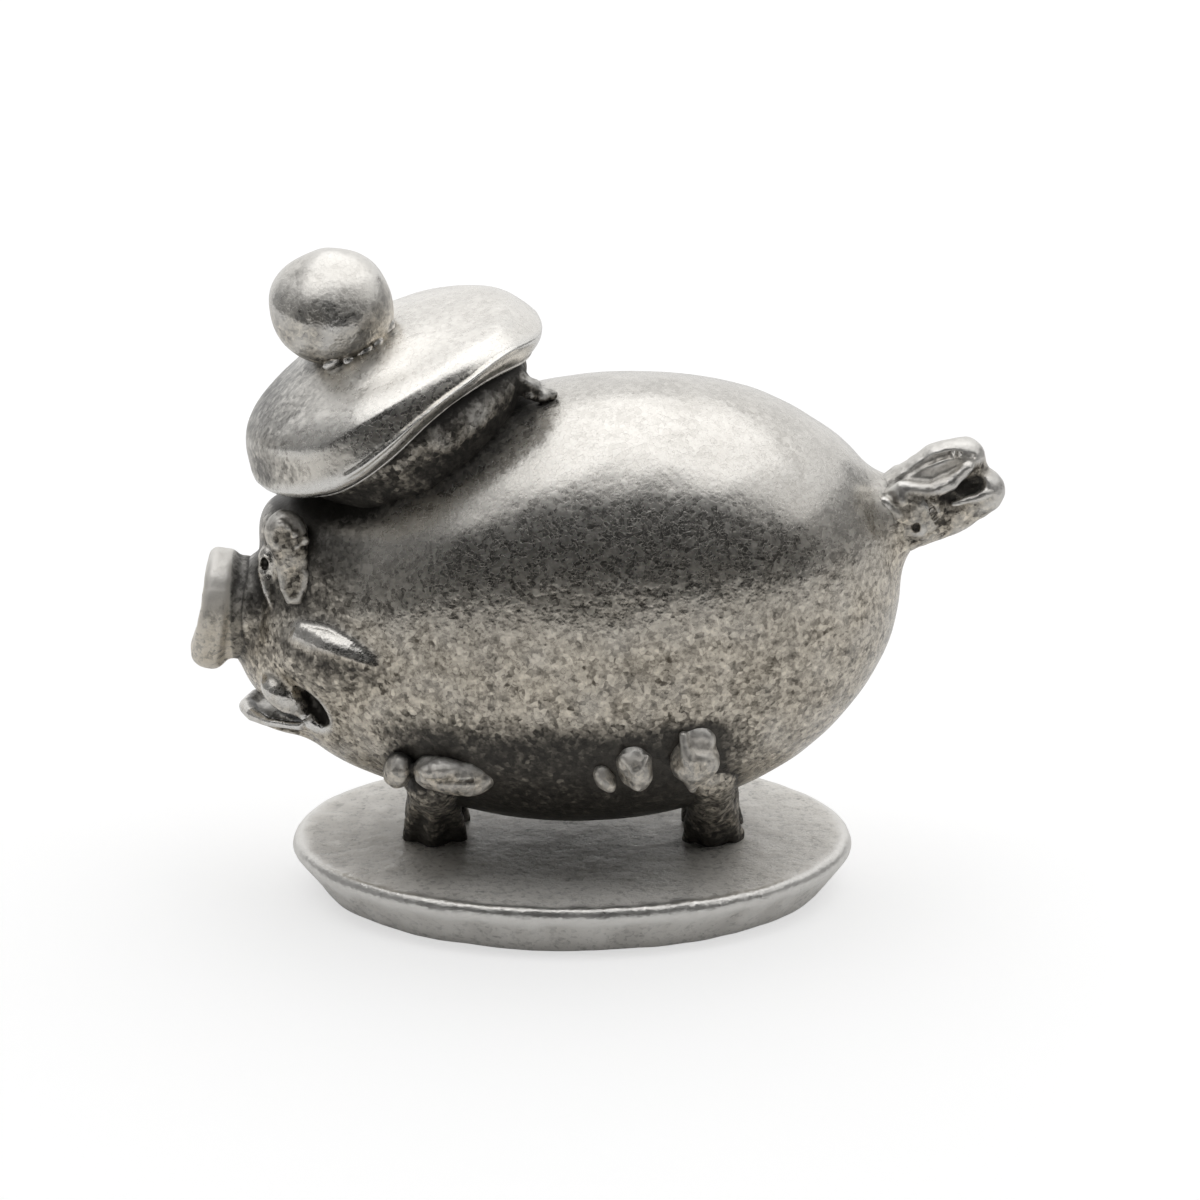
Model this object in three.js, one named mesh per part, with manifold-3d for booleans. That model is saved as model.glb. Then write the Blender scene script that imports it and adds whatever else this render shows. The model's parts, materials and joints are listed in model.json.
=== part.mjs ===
// A small pewter figurine of a haggis: an egg-shaped, pig-faced animal in a flat bonnet, on an oval base.
// Lengths are in millimetres, angles in degrees, and +Z is up. The animal faces -X with its left side
// towards -Y, and the origin is the middle of the base's underside.

import * as THREE from "three";
import { mergeVertices } from "three/addons/utils/BufferGeometryUtils.js";
import Module from "manifold-3d";

const wasm = await Module();
wasm.setup();

// Fits between the castings
const SOLDER_GAP = 0.25; // space between two castings, which solder fills
const PEG_DEPTH = 1.3; // how far a locating peg enters its socket

// Base plate
const BASE_LENGTH = 28.3;
const BASE_WIDTH = 21.6;
const BASE_THICKNESS = 2.6;
const BASE_DRAFT = 1.4; // the edge draws in this far from the rim to the underside
const BASE_RIM_ROUND = 0.4;

// Body: an egg that is fuller at the rear, with its long axis along X
const BODY_LENGTH = 31.6;
const BODY_WIDTH = 19.6;
const BODY_HEIGHT = 22.2;
const BODY_SETBACK = 0.6; // middle of the body behind the middle of the base
const BODY_RISE = 0.9; // the axis climbs this far from the middle to the rear end
const REAR_SWELL = 0.07; // share by which the rear end is larger than the middle
const REAR_FULLNESS = 2.1; // of the rear half: 2 is an ellipse, more is squarer
const BELLY_CLEARANCE = 1.6; // belly above the base

// Head and face: setbacks are from the body's front end, rises and drops from the body's middle
const BROW_LENGTH = 8.8;
const BROW_WIDTH = 10;
const BROW_HEIGHT = 8.4;
const BROW_SETBACK = 4;
const BROW_RISE = 2.2;
const FACE_LENGTH = 8.6;
const FACE_WIDTH = 10.8;
const FACE_HEIGHT = 9.8;
const FACE_SETBACK = 3.3;
const FACE_DROP = 1.8;
const LIP_LENGTH = 5.6;
const LIP_WIDTH = 7.6;
const LIP_HEIGHT = 5.8;
const LIP_SETBACK = 1.3;
const LIP_DROP = 3.4;
const JAW_LENGTH = 8.2;
const JAW_WIDTH = 6.8;
const JAW_THICKNESS = 2;
const JAW_SETBACK = 2.3;
const JAW_DROP = 6.6;
const JAW_TILT = 16;
const MOUTH_LENGTH = 5.6;
const MOUTH_HEIGHT = 1.4;
const MOUTH_SETBACK = 0.6;
const MOUTH_DROP = 5.7;
const MOUTH_TILT = 10;
const CHEEK_LENGTH = 4.8;
const CHEEK_DEPTH = 2.6;
const CHEEK_HEIGHT = 3.2;
const CHEEK_SETBACK = 2.8;
const CHEEK_DROP = 2.2;
const EYE_HEIGHT = 2.4;
const EYE_WIDTH = 1.4;
const EYE_DEPTH = 1.2;
const EYE_RISE = 2.2;
const EYE_SPACING = 3.4;
const PUPIL_DIAMETER = 0.6;
const PUPIL_DEPTH = 0.5;

// Muzzle and snout disc
const MUZZLE_REACH = 1.75; // tip of the muzzle ahead of the body's front end
const MUZZLE_ROOT_DIAMETER = 6.2;
const MUZZLE_TIP_DIAMETER = 4.6;
const MUZZLE_DROP = 0.8;
const SNOUT_DIAMETER = 5.7;
const SNOUT_THICKNESS = 1.4;
const SNOUT_EDGE_ROUND = 0.6;
const SNOUT_TILT = 12; // the disc looks up this much
const SNOUT_PEG_DIAMETER = 1.8;
const NOSTRIL_DIAMETER = 0.9;
const NOSTRIL_SPACING = 1.9;
const NOSTRIL_DEPTH = 0.5;

// Ears
const EAR_LENGTH = 4.8;
const EAR_WIDTH = 1.9;
const EAR_THICKNESS = 1.3;
const EAR_SETBACK = 1.5;
const EAR_RISE = 3.3;
const EAR_HOLLOW_LENGTH = 2.8;
const EAR_HOLLOW_WIDTH = 1;
const EAR_HOLLOW_DEPTH = 0.35;
const EAR_HOLLOW_DROP = 0.6; // middle of the hollow below the middle of the ear
const EAR_PEG_DIAMETER = 0.9;

// Bonnet, band and toorie, in a frame that leans forward and to the left
const BONNET_DIAMETER = 16.2;
const CROWN_HEIGHT = 2.9;
const CROWN_FULLNESS = 1.8; // 2 is an ellipse, less is nearer to a cone
const RIM_DEPTH = 1.2; // underside below the widest part
const RIM_INSET = 1.4; // the rim turns in this far to the flat underside
const BONNET_SETBACK = 6.3;
const BONNET_LIFT = 2.8; // widest part above the head
const BONNET_LEAN = 24;
const BONNET_ROLL = 6;
const SPIGOT_DIAMETER = 4;
const BAND_DIAMETER = 10.4;
const BAND_SKIRT = 5.6; // lowest part of the band below the bonnet's widest part
const TOORIE_DIAMETER = 5.8;
const TOORIE_FORWARD = 0.8; // ahead of the bonnet's middle
const TOORIE_SINK = 0.6; // the ball is let into the crown this far
const TOORIE_PEG_DIAMETER = 2;

// Tail: the gathered and tied end of the casing
const TAIL_RISE = 4.6; // root above the body's middle
const TAIL_LEAN = 22;
const TAIL_NECK_DIAMETER = 4;
const TAIL_NECK_LENGTH = 2.2;
const UPPER_FOLD_LENGTH = 5.2;
const UPPER_FOLD_THICKNESS = 2.2;
const LOWER_FOLD_LENGTH = 5.4;
const LOWER_FOLD_THICKNESS = 2.6;
const FOLD_WIDTH = 3.2;
const FOLD_SPREAD = 2.4; // between the middles of the two folds
const TAIL_PEG_DIAMETER = 2;

// Legs: each is a foot post under the belly, a leg that hugs it and a paw on the flank
const FRONT_FOOT_AHEAD = 6.9; // of the middle of the base
const REAR_FOOT_BEHIND = 8;
const STANCE = 3.8; // between the left and right foot posts
const POST_DIAMETER = 2.2;
const LEG_DIAMETER = 3.6;
const LEG_PEG_DIAMETER = 1.3;
const FRONT_PAW_AHEAD = 6;
const FRONT_PAW_HEIGHT = 5.9; // above the base
const REAR_PAW_BEHIND = 6.4;
const REAR_PAW_HEIGHT = 7.3;
const TOE_DEPTH = 3;
const PAD_HEIGHT = 1.8; // of the pad that joins the toes
const FRONT_BIG_TOE_WIDTH = 3.8;
const FRONT_BIG_TOE_HEIGHT = 2.4;
const FRONT_SMALL_TOE_WIDTH = 1.9;
const FRONT_SMALL_TOE_HEIGHT = 1.9;
const FRONT_SMALL_TOE_AHEAD = 2.5; // of the big toe
const REAR_BIG_TOE_WIDTH = 3;
const REAR_BIG_TOE_HEIGHT = 4.2;
const REAR_MIDDLE_TOE_WIDTH = 2.4;
const REAR_MIDDLE_TOE_HEIGHT = 3.2;
const REAR_MIDDLE_TOE_AHEAD = 2.6; // of the big toe
const REAR_SMALL_TOE_WIDTH = 1.6;
const REAR_SMALL_TOE_HEIGHT = 2.2;
const REAR_SMALL_TOE_AHEAD = 4.4; // of the big toe

// Finish: pewter, brighter where handling has worn it and darker where the patina stays
const WORN_PEWTER = 0xa39e97;
const PLAIN_PEWTER = 0x96918a;
const DARK_PEWTER = 0x6c6863;
const PEWTER_ROUGHNESS = 0.42;
const PEWTER_METALNESS = 0.9;

// Facets
const EGG_FACETS = 40;
const BASE_FACETS = 48;
const LUMP_FACETS = 20;
const TOE_FACETS = 14;
const SNOUT_FACETS = 24;
const ROUND_FACETS = 36;
const PEG_FACETS = 10;
const CROWN_STEPS = 10;
const EDGE_STEPS = 4;

const radians = THREE.MathUtils.degToRad;
const vector = (x, y, z) => new THREE.Vector3(x, y, z);

// Places that several castings share
const baseTop = BASE_THICKNESS;
const bodyMiddle = vector(BODY_SETBACK, 0, baseTop + BELLY_CLEARANCE + BODY_HEIGHT / 2);
const bodyFront = bodyMiddle.x - BODY_LENGTH / 2;
const onHead = (setback, side, rise) => vector(bodyFront + setback, side, bodyMiddle.z + rise);

// Turns a closed geometry into a solid that can be joined and cut.
function solidOf(geometry) {
  const bare = geometry.clone();
  bare.deleteAttribute("normal");
  bare.deleteAttribute("uv");
  const merged = mergeVertices(bare, 1e-4);
  const vertProperties = merged.attributes.position.array;
  const triVerts = Uint32Array.from(merged.index.array);
  return new wasm.Manifold(new wasm.Mesh({ numProp: 3, vertProperties, triVerts }));
}

// Turns a solid back into a geometry.
function geometryOf(solid) {
  const { vertProperties, triVerts } = solid.getMesh();
  const geometry = new THREE.BufferGeometry();
  geometry.setAttribute("position", new THREE.BufferAttribute(vertProperties, 3));
  geometry.setIndex(new THREE.BufferAttribute(triVerts, 1));
  return geometry;
}

const joined = (solids) => solids.reduce((whole, next) => whole.add(next));

// An ellipsoid of a length, width and height, tipped nose-up by a tilt.
function lump(at, length, width, height, tilt = 0, facets = LUMP_FACETS) {
  const geometry = new THREE.SphereGeometry(0.5, facets, facets / 2);
  geometry.scale(length, width, height);
  geometry.rotateY(radians(tilt));
  geometry.translate(at.x, at.y, at.z);
  return solidOf(geometry);
}

// A round rod from one point to another, which may taper.
function rod(from, to, diameter, endDiameter = diameter, facets = PEG_FACETS) {
  const length = from.distanceTo(to);
  const geometry = new THREE.CylinderGeometry(endDiameter / 2, diameter / 2, length, facets);
  geometry.translate(0, length / 2, 0);
  const direction = to.clone().sub(from).normalize();
  geometry.applyQuaternion(new THREE.Quaternion().setFromUnitVectors(vector(0, 1, 0), direction));
  geometry.translate(from.x, from.y, from.z);
  return solidOf(geometry);
}

// A solid of revolution about +Z from a profile of [radius, height] points that runs upwards.
function turned(profile, facets = ROUND_FACETS) {
  const points = profile.map(([radius, height]) => new THREE.Vector2(radius, height));
  return new THREE.LatheGeometry(points, facets).rotateX(Math.PI / 2);
}

// Points on a quarter ellipse from the angle 0, at full radius, to 90 degrees, at full height.
function quarter(radius, height, steps, fullness = 2) {
  return Array.from({ length: steps + 1 }, (_, i) => {
    const angle = (i / steps) * (Math.PI / 2);
    return [radius * Math.cos(angle) ** (2 / fullness), height * Math.sin(angle) ** (2 / fullness)];
  });
}

// A locating peg, and the socket that takes it with room for solder.
function pegAndSocket(root, tip, diameter) {
  const beyond = tip.clone().sub(root).setLength(SOLDER_GAP).add(tip);
  return { peg: rod(root, tip, diameter), socket: rod(root, beyond, diameter + 2 * SOLDER_GAP) };
}

// How far the egg has closed in at a share of its half length: 1 in the middle, 0 at the ends.
function endShape(along) {
  const fullness = along > 0 ? REAR_FULLNESS : 2;
  return (1 - Math.min(Math.abs(along), 1) ** fullness) ** (1 / fullness);
}

// Where the egg stands at a place along X: its axis height and its half sizes there.
function eggAt(x) {
  const along = THREE.MathUtils.clamp((x - bodyMiddle.x) / (BODY_LENGTH / 2), -1, 1);
  return {
    axis: bodyMiddle.z + BODY_RISE * along,
    halfWidth: (BODY_WIDTH / 2) * (1 + REAR_SWELL * along),
    halfHeight: (BODY_HEIGHT / 2) * (1 + REAR_SWELL * along),
    left: endShape(along) ** 2,
  };
}

function eggSide(x, z) {
  const { axis, halfWidth, halfHeight, left } = eggAt(x);
  return halfWidth * Math.sqrt(Math.max(left - ((z - axis) / halfHeight) ** 2, 0));
}

function eggHeight(x, y, sign) {
  const { axis, halfWidth, halfHeight, left } = eggAt(x);
  return axis + sign * halfHeight * Math.sqrt(Math.max(left - (y / halfWidth) ** 2, 0));
}

function eggEnd(z) {
  const rise = (z - bodyMiddle.z - BODY_RISE) / ((BODY_HEIGHT / 2) * (1 + REAR_SWELL));
  const left = Math.max(1 - Math.abs(rise) ** REAR_FULLNESS, 0);
  return bodyMiddle.x + (BODY_LENGTH / 2) * left ** (1 / REAR_FULLNESS);
}

// The egg, grown by a margin all round.
function egg(margin) {
  const geometry = new THREE.SphereGeometry(1, EGG_FACETS, EGG_FACETS / 2).rotateZ(Math.PI / 2);
  const points = geometry.attributes.position;
  for (let i = 0; i < points.count; i += 1) {
    const along = points.getX(i);
    const swell = 1 + REAR_SWELL * along;
    const round = Math.hypot(points.getY(i), points.getZ(i));
    const full = round > 0 ? endShape(along) / round : 0;
    points.setXYZ(
      i,
      bodyMiddle.x + (BODY_LENGTH / 2 + margin) * along,
      ((BODY_WIDTH / 2) * swell + margin) * full * points.getY(i),
      bodyMiddle.z + BODY_RISE * along + ((BODY_HEIGHT / 2) * swell + margin) * full * points.getZ(i),
    );
  }
  return solidOf(geometry);
}

const brow = onHead(BROW_SETBACK, 0, BROW_RISE);
const face = onHead(FACE_SETBACK, 0, -FACE_DROP);

// Half width of an ellipsoid at a place on its side.
function lumpSide(middle, length, width, height, x, z) {
  const left = 1 - (2 * (x - middle.x) / length) ** 2 - (2 * (z - middle.z) / height) ** 2;
  return (width / 2) * Math.sqrt(Math.max(left, 0));
}

function browFront(y, z) {
  const left = 1 - (2 * y / BROW_WIDTH) ** 2 - (2 * (z - brow.z) / BROW_HEIGHT) ** 2;
  return brow.x - (BROW_LENGTH / 2) * Math.sqrt(Math.max(left, 0));
}

// The muzzle points forward and a little up, and carries the snout disc on its flat tip.
const muzzleAxis = vector(-Math.cos(radians(SNOUT_TILT)), 0, Math.sin(radians(SNOUT_TILT)));
const muzzleTip = onHead(-MUZZLE_REACH, 0, -MUZZLE_DROP);
const muzzleRoot = muzzleTip.clone().addScaledVector(muzzleAxis, -(MUZZLE_REACH + FACE_SETBACK));

// The eyes sit on the brow, each with its pupil along the brow's outward direction there.
const eyeSockets = [-1, 1].map((side) => {
  const y = (side * EYE_SPACING) / 2;
  const z = bodyMiddle.z + EYE_RISE;
  const middle = vector(browFront(y, z), y, z);
  const outward = vector(
    (middle.x - brow.x) / BROW_LENGTH ** 2,
    (middle.y - brow.y) / BROW_WIDTH ** 2,
    (middle.z - brow.z) / BROW_HEIGHT ** 2,
  ).normalize();
  return { middle, outward };
});

// The whole mass of the body and head, grown by a margin, before the mouth and the sockets are cut.
function bodyMass(margin = 0) {
  const grown = (size) => size + 2 * margin;
  const rounded = (at, length, width, height, tilt) =>
    lump(at, grown(length), grown(width), grown(height), tilt);
  const cheekX = bodyFront + CHEEK_SETBACK;
  const cheekZ = bodyMiddle.z - CHEEK_DROP;
  const cheekSide = lumpSide(face, FACE_LENGTH, FACE_WIDTH, FACE_HEIGHT, cheekX, cheekZ);
  const pieces = [
    egg(margin),
    rounded(brow, BROW_LENGTH, BROW_WIDTH, BROW_HEIGHT),
    rounded(face, FACE_LENGTH, FACE_WIDTH, FACE_HEIGHT),
    rounded(onHead(LIP_SETBACK, 0, -LIP_DROP), LIP_LENGTH, LIP_WIDTH, LIP_HEIGHT),
    rounded(onHead(JAW_SETBACK, 0, -JAW_DROP), JAW_LENGTH, JAW_WIDTH, JAW_THICKNESS, JAW_TILT),
    rod(muzzleRoot, muzzleTip, grown(MUZZLE_ROOT_DIAMETER), grown(MUZZLE_TIP_DIAMETER), LUMP_FACETS),
  ];
  for (const side of [-1, 1]) {
    const cheek = vector(cheekX, side * cheekSide, cheekZ);
    pieces.push(rounded(cheek, CHEEK_LENGTH, CHEEK_DEPTH, CHEEK_HEIGHT));
  }
  for (const { middle } of eyeSockets) {
    pieces.push(rounded(middle, EYE_DEPTH, EYE_WIDTH, EYE_HEIGHT));
  }
  return joined(pieces);
}

// What is cut from the mass to open the mouth and the pupils.
function mouthAndPupils() {
  const mouthAt = onHead(MOUTH_SETBACK, 0, -MOUTH_DROP);
  const cuts = [lump(mouthAt, MOUTH_LENGTH, 2 * FACE_WIDTH, MOUTH_HEIGHT, MOUTH_TILT)];
  for (const { middle, outward } of eyeSockets) {
    const outside = middle.clone().addScaledVector(outward, EYE_DEPTH / 2 + PUPIL_DEPTH);
    const bottom = middle.clone().addScaledVector(outward, EYE_DEPTH / 2 - PUPIL_DEPTH);
    cuts.push(rod(outside, bottom, PUPIL_DIAMETER));
  }
  return joined(cuts);
}

const nearBody = bodyMass(SOLDER_GAP);

// Base plate, with a socket for each foot post
function basePlate(sockets) {
  const half = BASE_LENGTH / 2;
  const rim = quarter(BASE_RIM_ROUND, BASE_RIM_ROUND, EDGE_STEPS).map(([radius, height]) => [
    half - BASE_RIM_ROUND + radius,
    baseTop - BASE_RIM_ROUND + height,
  ]);
  const plate = turned([[0, 0], [half - BASE_DRAFT, 0], ...rim, [0, baseTop]], BASE_FACETS);
  plate.scale(1, BASE_WIDTH / BASE_LENGTH, 1);
  return solidOf(plate).subtract(joined(sockets));
}

// Snout disc with two nostrils, pegged into the muzzle
function snout() {
  const radius = SNOUT_DIAMETER / 2;
  const round = SNOUT_EDGE_ROUND;
  const edge = quarter(round, round, EDGE_STEPS);
  const lower = edge.map(([r, h]) => [radius - round + r, round - h]).reverse();
  const upper = edge.map(([r, h]) => [radius - round + r, SNOUT_THICKNESS - round + h]);
  const disc = turned([[0, 0], ...lower, ...upper, [0, SNOUT_THICKNESS]], SNOUT_FACETS);
  const back = muzzleTip.clone().addScaledVector(muzzleAxis, SOLDER_GAP);
  disc.applyQuaternion(new THREE.Quaternion().setFromUnitVectors(vector(0, 0, 1), muzzleAxis));
  disc.translate(back.x, back.y, back.z);
  const front = back.clone().addScaledVector(muzzleAxis, SNOUT_THICKNESS);
  const nostrils = [-1, 1].map((side) => {
    const middle = front.clone().setY((side * NOSTRIL_SPACING) / 2);
    const bottom = middle.clone().addScaledVector(muzzleAxis, -NOSTRIL_DEPTH);
    return rod(middle.addScaledVector(muzzleAxis, NOSTRIL_DEPTH), bottom, NOSTRIL_DIAMETER);
  });
  const pegTip = muzzleTip.clone().addScaledVector(muzzleAxis, -PEG_DEPTH);
  const pegRoot = back.clone().addScaledVector(muzzleAxis, SNOUT_THICKNESS / 2);
  const { peg, socket } = pegAndSocket(pegRoot, pegTip, SNOUT_PEG_DIAMETER);
  return { casting: solidOf(disc).subtract(joined(nostrils)).add(peg), socket };
}

// Left ear: a hanging lobe with a hollow face, pegged into the side of the head
function leftEar() {
  const x = bodyFront + EAR_SETBACK;
  const z = bodyMiddle.z + EAR_RISE;
  const side = lumpSide(brow, BROW_LENGTH, BROW_WIDTH, BROW_HEIGHT, x, z);
  const middle = vector(x, -side - SOLDER_GAP, z);
  const lobe = lump(middle, EAR_WIDTH, EAR_THICKNESS, EAR_LENGTH, 0, TOE_FACETS);
  const hollowAt = vector(x, middle.y - EAR_THICKNESS / 2, z - EAR_HOLLOW_DROP);
  const hollowDepth = 2 * EAR_HOLLOW_DEPTH;
  const hollow = lump(hollowAt, EAR_HOLLOW_WIDTH, hollowDepth, EAR_HOLLOW_LENGTH, 0, TOE_FACETS);
  const { peg, socket } = pegAndSocket(middle, vector(x, -side + PEG_DEPTH, z), EAR_PEG_DIAMETER);
  return { casting: lobe.subtract(hollow).subtract(nearBody).add(peg), socket };
}

// Tail tie: a short neck that opens into an upper and a lower fold
function tailTie() {
  const lean = radians(TAIL_LEAN);
  const axis = vector(Math.cos(lean), 0, Math.sin(lean));
  const across = vector(-Math.sin(lean), 0, Math.cos(lean));
  const z = bodyMiddle.z + TAIL_RISE;
  const root = vector(eggEnd(z), 0, z);
  const place = (along, up) => root.clone().addScaledVector(axis, along).addScaledVector(across, up);
  const inside = place(-TAIL_NECK_DIAMETER / 2, 0);
  const neckEnd = place(TAIL_NECK_LENGTH, 0);
  const neck = rod(inside, neckEnd, TAIL_NECK_DIAMETER, TAIL_NECK_DIAMETER, LUMP_FACETS);
  const upperAt = place(UPPER_FOLD_LENGTH / 2, FOLD_SPREAD / 2);
  const upper = lump(upperAt, UPPER_FOLD_LENGTH, FOLD_WIDTH, UPPER_FOLD_THICKNESS, -TAIL_LEAN);
  const lowerAt = place(LOWER_FOLD_LENGTH / 2 + SOLDER_GAP, -FOLD_SPREAD / 2);
  const lower = lump(lowerAt, LOWER_FOLD_LENGTH, FOLD_WIDTH, LOWER_FOLD_THICKNESS, -TAIL_LEAN);
  const pegRoot = place(TAIL_NECK_LENGTH / 2, 0);
  const { peg, socket } = pegAndSocket(pegRoot, place(-PEG_DEPTH, 0), TAIL_PEG_DIAMETER);
  return { casting: joined([neck, upper, lower]).subtract(nearBody).add(peg), socket };
}

const frontToes = [
  { ahead: 0, width: FRONT_BIG_TOE_WIDTH, height: FRONT_BIG_TOE_HEIGHT },
  { ahead: FRONT_SMALL_TOE_AHEAD, width: FRONT_SMALL_TOE_WIDTH, height: FRONT_SMALL_TOE_HEIGHT },
];
const rearToes = [
  { ahead: 0, width: REAR_BIG_TOE_WIDTH, height: REAR_BIG_TOE_HEIGHT },
  { ahead: REAR_MIDDLE_TOE_AHEAD, width: REAR_MIDDLE_TOE_WIDTH, height: REAR_MIDDLE_TOE_HEIGHT },
  { ahead: REAR_SMALL_TOE_AHEAD, width: REAR_SMALL_TOE_WIDTH, height: REAR_SMALL_TOE_HEIGHT },
];

// A left leg: post from the base to the belly, leg out to the flank and a paw of round toes
function leftLeg(footX, pawX, pawHeight, toes) {
  const footY = -STANCE / 2;
  const foot = vector(footX, footY, baseTop);
  const belly = vector(footX, footY, eggHeight(footX, footY, -1));
  const pawZ = baseTop + pawHeight;
  const pawMiddle = vector(pawX, -eggSide(pawX, pawZ), pawZ);
  const shapes = toes.map(({ ahead, width, height }) => {
    const x = pawX - ahead;
    return lump(vector(x, -eggSide(x, pawZ), pawZ), width, TOE_DEPTH, height, 0, TOE_FACETS);
  });
  const last = toes.at(-1);
  const padLength = last.ahead + (toes[0].width + last.width) / 2;
  const padX = pawX + toes[0].width / 2 - padLength / 2;
  const padAt = vector(padX, -eggSide(padX, pawZ), pawZ);
  shapes.push(lump(padAt, padLength, TOE_DEPTH, PAD_HEIGHT, 0, TOE_FACETS));
  shapes.push(rod(foot, belly, POST_DIAMETER));
  shapes.push(rod(belly, pawMiddle, LEG_DIAMETER));
  const middle = foot.clone().lerp(belly, 0.5);
  const upper = pegAndSocket(middle, belly.clone().setZ(belly.z + PEG_DEPTH), LEG_PEG_DIAMETER);
  const lower = pegAndSocket(middle, foot.clone().setZ(baseTop - PEG_DEPTH), LEG_PEG_DIAMETER);
  const below = new THREE.BoxGeometry(2 * BODY_LENGTH, 2 * BODY_WIDTH, 2 * baseTop);
  const leg = joined(shapes).subtract(nearBody).subtract(solidOf(below));
  return {
    casting: joined([leg, upper.peg, lower.peg]),
    bodySocket: upper.socket,
    baseSocket: lower.socket,
  };
}

// The bonnet's frame: on the head, leaning forward and to the left
const bonnetGroup = new THREE.Group();
const bonnetX = bodyFront + BONNET_SETBACK;
bonnetGroup.position.set(bonnetX, 0, eggHeight(bonnetX, 0, 1) + BONNET_LIFT);
bonnetGroup.rotation.set(radians(BONNET_ROLL), -radians(BONNET_LEAN), 0);
bonnetGroup.updateMatrix();

const headReach = BONNET_LIFT * Math.cos(radians(BONNET_LEAN)) + PEG_DEPTH;
const spigotTip = vector(0, 0, -headReach);
const spigot = pegAndSocket(vector(0, 0, -RIM_DEPTH / 2), spigotTip, SPIGOT_DIAMETER);

// Height of the crown above the bonnet's widest part
function crownAt(radius) {
  const share = radius / (BONNET_DIAMETER / 2);
  return CROWN_HEIGHT * (1 - share ** CROWN_FULLNESS) ** (1 / CROWN_FULLNESS);
}

// Domed cap with a rolled rim, grown by a margin
function bonnetDome(margin = 0) {
  const radius = BONNET_DIAMETER / 2 + margin;
  const top = CROWN_HEIGHT + margin;
  const bottom = RIM_DEPTH + margin;
  const edge = quarter(RIM_INSET, bottom, EDGE_STEPS);
  const rolled = edge.map(([r, h]) => [radius - RIM_INSET + r, -h]).reverse();
  const crown = quarter(radius, top, CROWN_STEPS, CROWN_FULLNESS).slice(1, -1);
  return solidOf(turned([[0, -bottom], ...rolled, ...crown, [0, top]]));
}

const toorieSeat = vector(-TOORIE_FORWARD, 0, crownAt(TOORIE_FORWARD));
const tooriePeg = pegAndSocket(
  toorieSeat.clone().setZ(toorieSeat.z + TOORIE_DIAMETER / 2),
  toorieSeat.clone().setZ(toorieSeat.z - PEG_DEPTH),
  TOORIE_PEG_DIAMETER,
);

function bonnet() {
  return bonnetDome().subtract(tooriePeg.socket).add(spigot.peg);
}

// Ball on the crown
function toorie() {
  const middle = toorieSeat.clone().setZ(toorieSeat.z + TOORIE_DIAMETER / 2 - TOORIE_SINK);
  const ball = lump(middle, TOORIE_DIAMETER, TOORIE_DIAMETER, TOORIE_DIAMETER);
  return ball.subtract(bonnetDome(SOLDER_GAP)).add(tooriePeg.peg);
}

// Headband: a ring round the bonnet's spigot, cut to sit on the head
function bonnetBand() {
  const outer = BAND_DIAMETER / 2;
  const bore = SPIGOT_DIAMETER / 2 + SOLDER_GAP;
  const top = -RIM_DEPTH - SOLDER_GAP;
  const bottom = -BAND_SKIRT;
  const ring = turned([[bore, bottom], [outer, bottom], [outer, top], [bore, top], [bore, bottom]]);
  const head = geometryOf(nearBody).applyMatrix4(bonnetGroup.matrix.clone().invert());
  return solidOf(ring).subtract(solidOf(head));
}

function casting(name, solid, colour) {
  const material = new THREE.MeshStandardMaterial({
    color: colour,
    roughness: PEWTER_ROUGHNESS,
    metalness: PEWTER_METALNESS,
  });
  const mesh = new THREE.Mesh(geometryOf(solid), material);
  mesh.name = name;
  return mesh;
}

// The right-hand copy of a left-hand solid, across the middle plane
function mirrored(solid) {
  const right = geometryOf(solid).scale(1, -1, 1);
  const turns = right.index.array;
  for (let i = 0; i < turns.length; i += 3) {
    [turns[i + 1], turns[i + 2]] = [turns[i + 2], turns[i + 1]];
  }
  return solidOf(right);
}

// The castings, made before the body and the base so that these can take their sockets
const snoutDisc = snout();
const ear = leftEar();
const tail = tailTie();
const frontLeg = leftLeg(-FRONT_FOOT_AHEAD, -FRONT_PAW_AHEAD, FRONT_PAW_HEIGHT, frontToes);
const rearLeg = leftLeg(REAR_FOOT_BEHIND, REAR_PAW_BEHIND, REAR_PAW_HEIGHT, rearToes);

const spigotSocket = solidOf(geometryOf(spigot.socket).applyMatrix4(bonnetGroup.matrix));
const bodyCuts = [mouthAndPupils(), snoutDisc.socket, tail.socket, spigotSocket];
const baseCuts = [];
for (const socket of [ear.socket, frontLeg.bodySocket, rearLeg.bodySocket]) {
  bodyCuts.push(socket, mirrored(socket));
}
for (const socket of [frontLeg.baseSocket, rearLeg.baseSocket]) {
  baseCuts.push(socket, mirrored(socket));
}

const figurine = new THREE.Group();
figurine.add(
  casting("base_plate", basePlate(baseCuts), PLAIN_PEWTER),
  casting("body", bodyMass().subtract(joined(bodyCuts)), PLAIN_PEWTER),
  casting("snout", snoutDisc.casting, WORN_PEWTER),
  casting("left_ear", ear.casting, PLAIN_PEWTER),
  casting("right_ear", mirrored(ear.casting), PLAIN_PEWTER),
  casting("front_left_leg", frontLeg.casting, PLAIN_PEWTER),
  casting("front_right_leg", mirrored(frontLeg.casting), PLAIN_PEWTER),
  casting("rear_left_leg", rearLeg.casting, PLAIN_PEWTER),
  casting("rear_right_leg", mirrored(rearLeg.casting), PLAIN_PEWTER),
  casting("tail_tie", tail.casting, WORN_PEWTER),
);

bonnetGroup.add(
  casting("bonnet_band", bonnetBand(), DARK_PEWTER),
  casting("bonnet", bonnet(), WORN_PEWTER),
  casting("toorie", toorie(), WORN_PEWTER),
);
figurine.add(bonnetGroup);

export default figurine;
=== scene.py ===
# A pewter haggis figurine: a stout pig-faced animal in a bonnet, soldered to an oval base.
# Each piece is shaped in millimetres, in the CAD frame, and scaled to metres when it is finished.

import json
import math

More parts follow.
